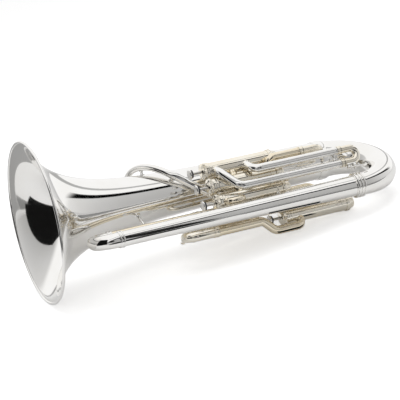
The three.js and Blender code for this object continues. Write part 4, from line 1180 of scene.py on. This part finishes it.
def saddle_mesh():
    """The plate soldered on a tube, with two ears, the pin with its screw head, and the nipple."""
    top = -KEY_HEIGHT + 1.0
    ear_y = KEY_WIDTH / 2 + SEAT_GAP + 0.8
    plate = block(KEY_PAD_ARM + 6, 2 * ear_y + 1.6, 2.6, 0.3)
    moved(plate, -KEY_PAD_ARM / 2 + 1, (0, top - 1.3))
    parts = [plate]
    for side in (-1, 1):
        ear = rotated(rod(2.5, -0.8, 0.8), 90, "Z")
        cheek = block(4.2, 1.6, KEY_HEIGHT - 0.6, 0.2)
        parts += [moved(ear, 0, (side * ear_y, 0)), moved(cheek, 0, (side * ear_y, -KEY_HEIGHT / 2))]
    pin = turned([
        (-ear_y - 1.4, 0), (-ear_y - 1.4, 1.3), (-ear_y - 0.8, 1.6), (-ear_y - 0.6, KEY_PIN_RADIUS),
        (ear_y + 1, KEY_PIN_RADIUS), (ear_y + 1, 0),
    ], PIN_SIDES)
    nipple = turned([
        (top - 1.5, 0), (top - 1.5, 3.6), (top + 0.4, 2.9), (-3.4, 2.6), (-3.4, 1.7), (top, 1.6), (top, 0),
    ], TUBE_SIDES, 0.15)
    return joined(*parts, rotated(pin, 90, "Z"), moved(rotated(nipple, -90, "Y"), -KEY_PAD_ARM))


def lever_mesh():
    """The sprung lever: a bar with a round finger plate and the cup over the nipple."""
    bar = block(KEY_ARM + KEY_PAD_ARM - 2, KEY_WIDTH - 1.2, KEY_THICKNESS, 0.4)
    moved(bar, (KEY_ARM - KEY_PAD_ARM) / 2)
    barrel = rotated(rod(2.4, -KEY_WIDTH / 2, KEY_WIDTH / 2), 90, "Z")
    cup = turned([
        (-2.6, 0), (-2.6, KEY_PAD_RADIUS - 0.2), (-2.2, KEY_PAD_RADIUS), (0, KEY_PAD_RADIUS),
        (0.7, KEY_PAD_RADIUS - 1.2), (0.9, 0),
    ], SMALL_SIDES, 0.2)
    touch_radius = KEY_TOUCH_WIDTH / 2
    touch = turned([
        (-0.9, 0), (-0.9, touch_radius - 0.4), (0.3, touch_radius), (0.9, touch_radius - 0.6), (0.5, 0),
    ], ROUND_SIDES, 0.2)
    cup = moved(rotated(cup, -90, "Y"), -KEY_PAD_ARM)
    return joined(bar, barrel, cup, moved(rotated(touch, -90, "Y"), KEY_ARM))


def make_water_keys():
    """The two sprung water keys, on the third slide and on the main tuning slide."""
    bow_x = SLIDE_3_END_X + COLLAR_LENGTH + SLIDE_BOW_LENGTH
    main_x = MAIN_BOW_START_X + KEY_ARM / 4
    rows = (
        ("water_key_3", "slide_3_part", bow_x, 1, SLIDE_3_NEAR, SLIDE_BOW_RADIUS, 215),
        ("water_key_main", "main_slide_part", main_x, -1, MAIN_FAR, MAIN_BOW_TUBE_RADIUS, -60),
    )
    for name, slide, x, towards_x, place, tube_radius, degrees in rows:
        axes = key_axes(x, towards_x, place, tube_radius, degrees)
        parts = (
            (saddle_mesh(), "saddle_fine", slide, "silver", [f"{name}_saddle"]),
            (lever_mesh(), "lever_fine", f"{name}_key", "silver", [f"{name}_lever"]),
            (spring_mesh(), "spring", slide, "nickel", []),
        )
        for bm, part, body, look, nodes in parts:
            bmesh.ops.transform(bm, matrix=axes, verts=bm.verts)
            finish(bm, f"{name}_{part}", look, *nodes, body=body)


# Stage

# The tent that the metal mirrors: its directions, and how far along them each part starts and is whole
FRONT = (-0.572, -0.816, 0.087)
VIEWER = (-0.33, -0.89, 0.32)
ROOF = (-0.36, 0.61, 0.71)
ALONG = (1, 0, 0)
ACROSS = (0, 1, 0)
ROOF_STEP = (0.03, 0.06)
BACK_STEP = (0.05, 0.3)
SIDE_STEP = (-0.6, -0.48)
SEAM_STEP = (-0.13, -0.10)
SEAM_SIDE_STEP = (-0.5, -0.2)
FOLD_START_STEP = (0.26, 0.28)
FOLD_END_STEP = (0.34, 0.36)
SPOT_STEP = (math.cos(math.radians(15)), math.cos(math.radians(11)))
FRONT_SHARE = 0.35
FOLD_DEPTH = 0.55
SPOT_DEPTH = 0.9

# The camera's axes and place, in the instrument's own axes
CAMERA_RIGHT = (0.910, -0.411, -0.064)
CAMERA_UP = (0.205, 0.310, 0.928)
CAMERA_PLACE = (-691, -2253.8, 1002.4)

# The floor's size in metres, and the share of its glow that the metal mirrors
FLOOR_SIZE = (8, 8)
MIRRORED_FLOOR_SHARE = 0.15

# The lamps: name, place, the point that each faces, size, all in metres, and share of the power
LAMPS = (
    ("lamp_top", (0.1, 0.1, 2.2), (0, 0, 0.1), (2.4, 1.6), 1.0),
    ("lamp_left", (-2.2, -1.2, 1.3), (-0.1, 0, 0.1), (1.2, 1.2), 0.25),
)

# The cards that only the metal mirrors: name, place, the point that each faces, size and shade
# Each card is a painted dark or grey reflection, some standing in for the floor in shade
UP = (0, 0, 1e4)
CARDS = (
    ("card_left", (-0.858, -0.247, 0.51), (-0.348, 0.033, 0.51), (0.836, 1.08), 0.01),
    ("card_foot", (-0.85, -0.215, 0.003), UP, (0.30, 0.57), 0.01),
    ("card_low", (-0.2, -0.55, 0.003), UP, (0.44, 0.4), 0.01),
    ("card_front", (0.4, -1.0, 0.002), UP, (2.0, 1.2), 0.36),
    ("card_edge", (0.52, -0.37, 0.002), UP, (0.9, 0.06), 0.1),
    ("card_tall", (0.13, -0.9, 0.42), (0.13, 0, 0.42), (0.18, 0.8), 0.02),
    ("card_feed", (0.115, -0.145, 0.001), UP, (0.1, 0.035), 0.01),
    ("card_back", (-0.95, 0.92, 0.002), UP, (1.1, 1.1), 0.45),
    ("card_side", (-1.26, 0.13, 0.002), UP, (0.68, 0.46), 0.33),
)


def facing(piece, place, aim, front):
    """Puts a stage piece in its place and turns its front towards a point."""
    piece.location = place
    piece.rotation_euler = (Vector(aim) - Vector(place)).to_track_quat(front, "Y").to_euler()


def area_light(name, place, aim, size, share):
    """A soft oblong light with a share of the lamps' power."""
    lamp = bpy.data.lights.new(name, "AREA")
    lamp.shape = "RECTANGLE"
    lamp.size, lamp.size_y = size
    lamp.energy = settings().lamp_power * share
    light = placed(lamp, name)
    facing(light, place, aim, "-Z")
    light.visible_glossy = False


def make_camera():
    """The photograph's camera, placed in the instrument's own axes."""
    data = bpy.data.cameras.new("camera")
    data.lens = settings().lens
    data.sensor_width = 36
    data.clip_end = 50
    camera = placed(data, "camera")
    right = Vector(CAMERA_RIGHT).normalized()
    back = Vector(CAMERA_RIGHT).cross(Vector(CAMERA_UP)).normalized()
    turn = AXES.to_3x3().normalized() @ Matrix((right, back.cross(right), back)).transposed()
    camera.matrix_world = Matrix.Translation(AXES @ Vector(CAMERA_PLACE)) @ turn.to_4x4()
    bpy.context.scene.camera = camera


def math_node(tree, operation, first, second):
    """A sum, product or comparison of two values, each a number or an output."""
    return add_node(tree, "Math", {0: first, 1: second}, operation=operation).outputs["Value"]


def product(tree, first, *others):
    """The product of several values."""
    for other in others:
        first = math_node(tree, "MULTIPLY", first, other)
    return first


def one_less(tree, value):
    """What is left of one when a value is taken away."""
    return math_node(tree, "SUBTRACT", 1, value)


def soft_step(tree, value, limits):
    """Nought below the first limit, one above the second, and smooth between."""
    values = {"Value": value, "From Min": limits[0], "From Max": limits[1]}
    return add_node(tree, "MapRange", values, interpolation_type="SMOOTHSTEP").outputs["Result"]


def towards(tree, direction, vector):
    """How far a direction points along another, from -1 to 1."""
    values = {0: direction, 1: Vector(vector).normalized()}
    return add_node(tree, "VectorMath", values, operation="DOT_PRODUCT").outputs["Value"]


def tent_light(tree, direction):
    """How bright the tent is in a direction: dim in front, with a roof over a dark seam."""
    along = towards(tree, direction, ALONG)
    slope = towards(tree, direction, ROOF)
    wall = add_node(tree, "MapRange", {
        "Value": towards(tree, direction, FRONT),
        "From Min": -1,
        "To Min": settings().tent,
        "To Max": settings().tent * FRONT_SHARE,
    }).outputs["Result"]
    back = soft_step(tree, towards(tree, direction, ACROSS), BACK_STEP)
    roof = math_node(tree, "MAXIMUM", soft_step(tree, slope, ROOF_STEP), back)
    open_seam = soft_step(tree, along, SEAM_SIDE_STEP)
    seam = product(tree, soft_step(tree, slope, SEAM_STEP), one_less(tree, roof), open_seam)
    fold_end = soft_step(tree, slope, FOLD_END_STEP)
    fold = product(tree, soft_step(tree, slope, FOLD_START_STEP), one_less(tree, fold_end), FOLD_DEPTH)
    ceiling = product(tree, roof, soft_step(tree, along, SIDE_STEP))
    lit = product(tree, ceiling, one_less(tree, fold))
    walls = product(tree, one_less(tree, ceiling), wall)
    spot = soft_step(tree, towards(tree, direction, VIEWER), SPOT_STEP)
    dim = one_less(tree, product(tree, spot, SPOT_DEPTH))
    return product(tree, math_node(tree, "ADD", lit, walls), one_less(tree, seam), dim)


def white_world():
    """A white surround, in whose place the metal mirrors the tent."""
    world = bpy.data.worlds.new("studio")
    bpy.context.scene.world = world
    world.use_nodes = True
    tree = world.node_tree
    background = next(node for node in tree.nodes if node.type == "BACKGROUND")
    mirrored = tent_light(tree, add_node(tree, "TexCoord", {}).outputs["Generated"])
    rays = add_node(tree, "LightPath", {}).outputs
    shown = math_node(tree, "MAXIMUM", rays["Is Camera Ray"], rays["Is Transmission Ray"])
    plain = math_node(tree, "ADD", shown, product(tree, rays["Is Diffuse Ray"], settings().fill))
    strength = math_node(tree, "ADD", plain, product(tree, rays["Is Glossy Ray"], mirrored))
    feed_inputs(tree, background, {"Strength": strength, "Color": (1, 1, 1, 1)})


def sheet(name, size, material):
    """A flat stage piece about the origin, in metres."""
    bm = bmesh.new()
    bmesh.ops.create_grid(bm, x_segments=1, y_segments=1, size=0.5)
    bmesh.ops.scale(bm, vec=(*size, 1), verts=bm.verts)
    piece = solid(bm, name, material)
    return piece


def painted_reflection_card(name, place, aim, size, shade):
    """A card that only the metal mirrors: a painted dark reflection."""
    material, tree, shader = nodes_of(name)
    shades = {"Base Color": (shade, shade, shade, 1), "Roughness": 0.9, "Specular IOR Level": 0.0}
    feed_inputs(tree, shader, shades)
    card = sheet(name, size, material)
    facing(card, place, aim, "Z")
    card.visible_camera = False
    card.visible_diffuse = False
    card.visible_shadow = False


def make_floor():
    """The white floor, which shines a little for the camera and less in the metal."""
    look = settings()
    material, tree, shader = nodes_of("white_floor")
    rays = add_node(tree, "LightPath", {}).outputs
    mirrored = product(tree, rays["Is Glossy Ray"], MIRRORED_FLOOR_SHARE)
    shown = math_node(tree, "MAXIMUM", rays["Is Camera Ray"], mirrored)
    feed_inputs(tree, shader, {
        "Base Color": (*look.floor, 1),
        "Roughness": 0.8,
        "Specular IOR Level": 0.2,
        "Emission Color": (1, 1, 1, 1),
        "Emission Strength": product(tree, shown, look.floor_glow),
    })
    sheet("floor", FLOOR_SIZE, material)


def make_stage():
    """The floor, the soft lamps, the cards, the surround and the camera."""
    bpy.context.scene.view_settings.view_transform = "Standard"
    make_floor()
    for lamp in LAMPS:
        area_light(*lamp)
    for card in CARDS:
        painted_reflection_card(*card)
    white_world()
    make_camera()


# Sidebar values, operators and panel


def tint(name, description, default):
    """A colour for the sidebar."""
    return bpy.props.FloatVectorProperty(
        name=name, description=description, subtype="COLOR", min=0, max=1, default=default)


def amount(name, description, default, low=0.0, **options):
    """A number for the sidebar."""
    return bpy.props.FloatProperty(name=name, description=description, default=default, min=low, **options)


class EuphoniumSettings(bpy.types.PropertyGroup):
    """Colours, small sizes and the strength of the stage."""

    silver: tint("Silver", "Colour of the polished plate", (0.93, 0.92, 0.90))
    silver_shade: tint("Silver shade", "Colour of the plate where it is tarnished", (0.90, 0.885, 0.855))
    # Warm and inner silver: the plate's colour with a painted warm reflection of the neighbouring tubes,
    # blended at random with their tarnish colours
    warm: tint("Warm silver", "Colour of the plate on the valves and slides", (0.93, 0.885, 0.79))
    warm_shade: tint("Warm shade", "Colour of the tarnish on the valves and slides", (0.90, 0.83, 0.69))
    inner: tint("Inner silver", "Colour of the small tubes between the branches", (0.91, 0.83, 0.68))
    inner_shade: tint("Inner shade", "Colour of the tarnish on the small tubes", (0.87, 0.77, 0.59))
    nickel: tint("Nickel", "Colour of the pistons and springs", (0.68, 0.66, 0.62))
    nickel_shade: tint("Nickel shade", "Darker colour of the pistons and springs", (0.60, 0.58, 0.54))
    floor: tint("Floor", "Colour of the floor", (0.92, 0.92, 0.92))
    floor_glow: amount("Floor glow", "Light that the floor adds to what the camera sees", 0.5)
    tent: amount("Tent", "Brightness of the tent's back walls in the metal", 0.9, max=1)
    fill: amount("Fill", "Strength of the light that the surround gives", 0.45)
    lamp_power: amount("Lamp power", "Power of the top lamp", 22.0, unit="POWER")
    bead_height: amount(
        "Bead height", "How far the beads stand out from the valve casings", 0.0005, unit="LENGTH")
    rib_depth: amount("Rib depth", "Depth of the grip ribs on the valve caps", 0.00045, unit="LENGTH")
    felt_thickness: amount(
        "Felt thickness", "Thickness of the felt under each valve button", 0.0016, 0.0005, unit="LENGTH")
    foot_radius: amount(
        "Foot radius", "Radius of the feet that carry the leadpipe", 0.0055, 0.004, unit="LENGTH")
    spring_wire: amount(
        "Spring wire", "Radius of the wire of the water key springs", 0.00032, 0.0001, unit="LENGTH")
    lens: amount("Lens", "Focal length of the camera", 135.0, 1, subtype="DISTANCE_CAMERA")


class EUPHONIUM_OT_stage(bpy.types.Operator):
    """Add the white floor, the soft lamps, the cards, the surround and the camera."""

    bl_idname = "euphonium.stage"
    bl_label = "Stage"
    bl_options = {"REGISTER", "UNDO"}

    def execute(self, context):
        """Runs the step."""
        make_stage()
        return {"FINISHED"}


class EUPHONIUM_OT_bell(bpy.types.Operator):
    """Add the thin bell and the wire in its rim."""

    bl_idname = "euphonium.bell"
    bl_label = "Bell"
    bl_options = {"REGISTER", "UNDO"}

    def execute(self, context):
        """Runs the step."""
        make_bell()
        return {"FINISHED"}


class EUPHONIUM_OT_bottom_bow(bpy.types.Operator):
    """Add the bottom bow, its two ferrules and its rest."""

    bl_idname = "euphonium.bottom_bow"
    bl_label = "Bottom Bow"
    bl_options = {"REGISTER", "UNDO"}

    def execute(self, context):
        """Runs the step."""
        make_bottom_bow()
        return {"FINISHED"}


class EUPHONIUM_OT_branches(bpy.types.Operator):
    """Add the branches, the top bow and the return bow."""

    bl_idname = "euphonium.branches"
    bl_label = "Branches"
    bl_options = {"REGISTER", "UNDO"}

    def execute(self, context):
        """Runs the step."""
        make_branches()
        return {"FINISHED"}


class EUPHONIUM_OT_valves(bpy.types.Operator):
    """Add the four valve casings with their caps."""

    bl_idname = "euphonium.valves"
    bl_label = "Valves"
    bl_options = {"REGISTER", "UNDO"}

    def execute(self, context):
        """Runs the step."""
        make_valves()
        return {"FINISHED"}


class EUPHONIUM_OT_pistons(bpy.types.Operator):
    """Add the four pistons with their buttons, pearls and felts."""

    bl_idname = "euphonium.pistons"
    bl_label = "Pistons"
    bl_options = {"REGISTER", "UNDO"}

    def execute(self, context):
        """Runs the step."""
        make_pistons()
        return {"FINISHED"}


class EUPHONIUM_OT_links(bpy.types.Operator):
    """Add the tubes that join the valves."""

    bl_idname = "euphonium.links"
    bl_label = "Valve Links"
    bl_options = {"REGISTER", "UNDO"}

    def execute(self, context):
        """Runs the step."""
        make_links()
        return {"FINISHED"}


class EUPHONIUM_OT_loops(bpy.types.Operator):
    """Add the loop behind each of the three top valves."""

    bl_idname = "euphonium.loops"
    bl_label = "Compensating Loops"
    bl_options = {"REGISTER", "UNDO"}

    def execute(self, context):
        """Runs the step."""
        make_loops()
        return {"FINISHED"}


class EUPHONIUM_OT_sleeves(bpy.types.Operator):
    """Add the five pairs of slide sleeves."""

    bl_idname = "euphonium.sleeves"
    bl_label = "Slide Sleeves"
    bl_options = {"REGISTER", "UNDO"}

    def execute(self, context):
        """Runs the step."""
        make_sleeves()
        return {"FINISHED"}


class EUPHONIUM_OT_slides(bpy.types.Operator):
    """Add the four valve slides and the main tuning slide."""

    bl_idname = "euphonium.slides"
    bl_label = "Slides"
    bl_options = {"REGISTER", "UNDO"}

    def execute(self, context):
        """Runs the step."""
        make_slides()
        return {"FINISHED"}


class EUPHONIUM_OT_feed(bpy.types.Operator):
    """Add the tube from the main slide to the side valve."""

    bl_idname = "euphonium.feed"
    bl_label = "Side Valve Feed"
    bl_options = {"REGISTER", "UNDO"}

    def execute(self, context):
        """Runs the step."""
        make_feed()
        return {"FINISHED"}


class EUPHONIUM_OT_leadpipe(bpy.types.Operator):
    """Add the leadpipe with its feet and the mouthpiece receiver."""

    bl_idname = "euphonium.leadpipe"
    bl_label = "Leadpipe"
    bl_options = {"REGISTER", "UNDO"}

    def execute(self, context):
        """Runs the step."""
        make_leadpipe()
        return {"FINISHED"}


class EUPHONIUM_OT_stays(bpy.types.Operator):
    """Add the four stays between the tubes."""

    bl_idname = "euphonium.stays"
    bl_label = "Stays"
    bl_options = {"REGISTER", "UNDO"}

    def execute(self, context):
        """Runs the step."""
        make_stays()
        return {"FINISHED"}


class EUPHONIUM_OT_water_keys(bpy.types.Operator):
    """Add the two sprung water keys."""

    bl_idname = "euphonium.water_keys"
    bl_label = "Water Keys"
    bl_options = {"REGISTER", "UNDO"}

    def execute(self, context):
        """Runs the step."""
        make_water_keys()
        return {"FINISHED"}


STEPS = (
    EUPHONIUM_OT_stage,
    EUPHONIUM_OT_bell,
    EUPHONIUM_OT_bottom_bow,
    EUPHONIUM_OT_branches,
    EUPHONIUM_OT_valves,
    EUPHONIUM_OT_pistons,
    EUPHONIUM_OT_links,
    EUPHONIUM_OT_loops,
    EUPHONIUM_OT_sleeves,
    EUPHONIUM_OT_slides,
    EUPHONIUM_OT_feed,
    EUPHONIUM_OT_leadpipe,
    EUPHONIUM_OT_stays,
    EUPHONIUM_OT_water_keys,
)


class EUPHONIUM_PT_panel(bpy.types.Panel):
    """Lists the pieces and the stage in the sidebar."""

    bl_label = "Euphonium"
    bl_idname = "EUPHONIUM_PT_panel"
    bl_space_type = "VIEW_3D"
    bl_region_type = "UI"
    bl_category = "Euphonium"

    def draw(self, context):
        """Draws the values and one button for each group."""
        for name in EuphoniumSettings.__annotations__:
            self.layout.prop(settings(), name)
        for step in STEPS:
            self.layout.operator(step.bl_idname)


CLASSES = (EuphoniumSettings, *STEPS, EUPHONIUM_PT_panel)


def register():
    """Adds the classes and the scene's settings."""
    for cls in CLASSES:
        bpy.utils.register_class(cls)
    setattr(bpy.types.Scene, SETTINGS, bpy.props.PointerProperty(type=EuphoniumSettings))


def unregister():
    """Takes the settings and the classes away."""
    delattr(bpy.types.Scene, SETTINGS)
    for cls in reversed(CLASSES):
        bpy.utils.unregister_class(cls)


def main():
    """Makes every piece and the stage."""
    register()
    for step in STEPS:
        group, name = step.bl_idname.split(".")
        getattr(getattr(bpy.ops, group), name)()


if __name__ == "__main__":
    main()
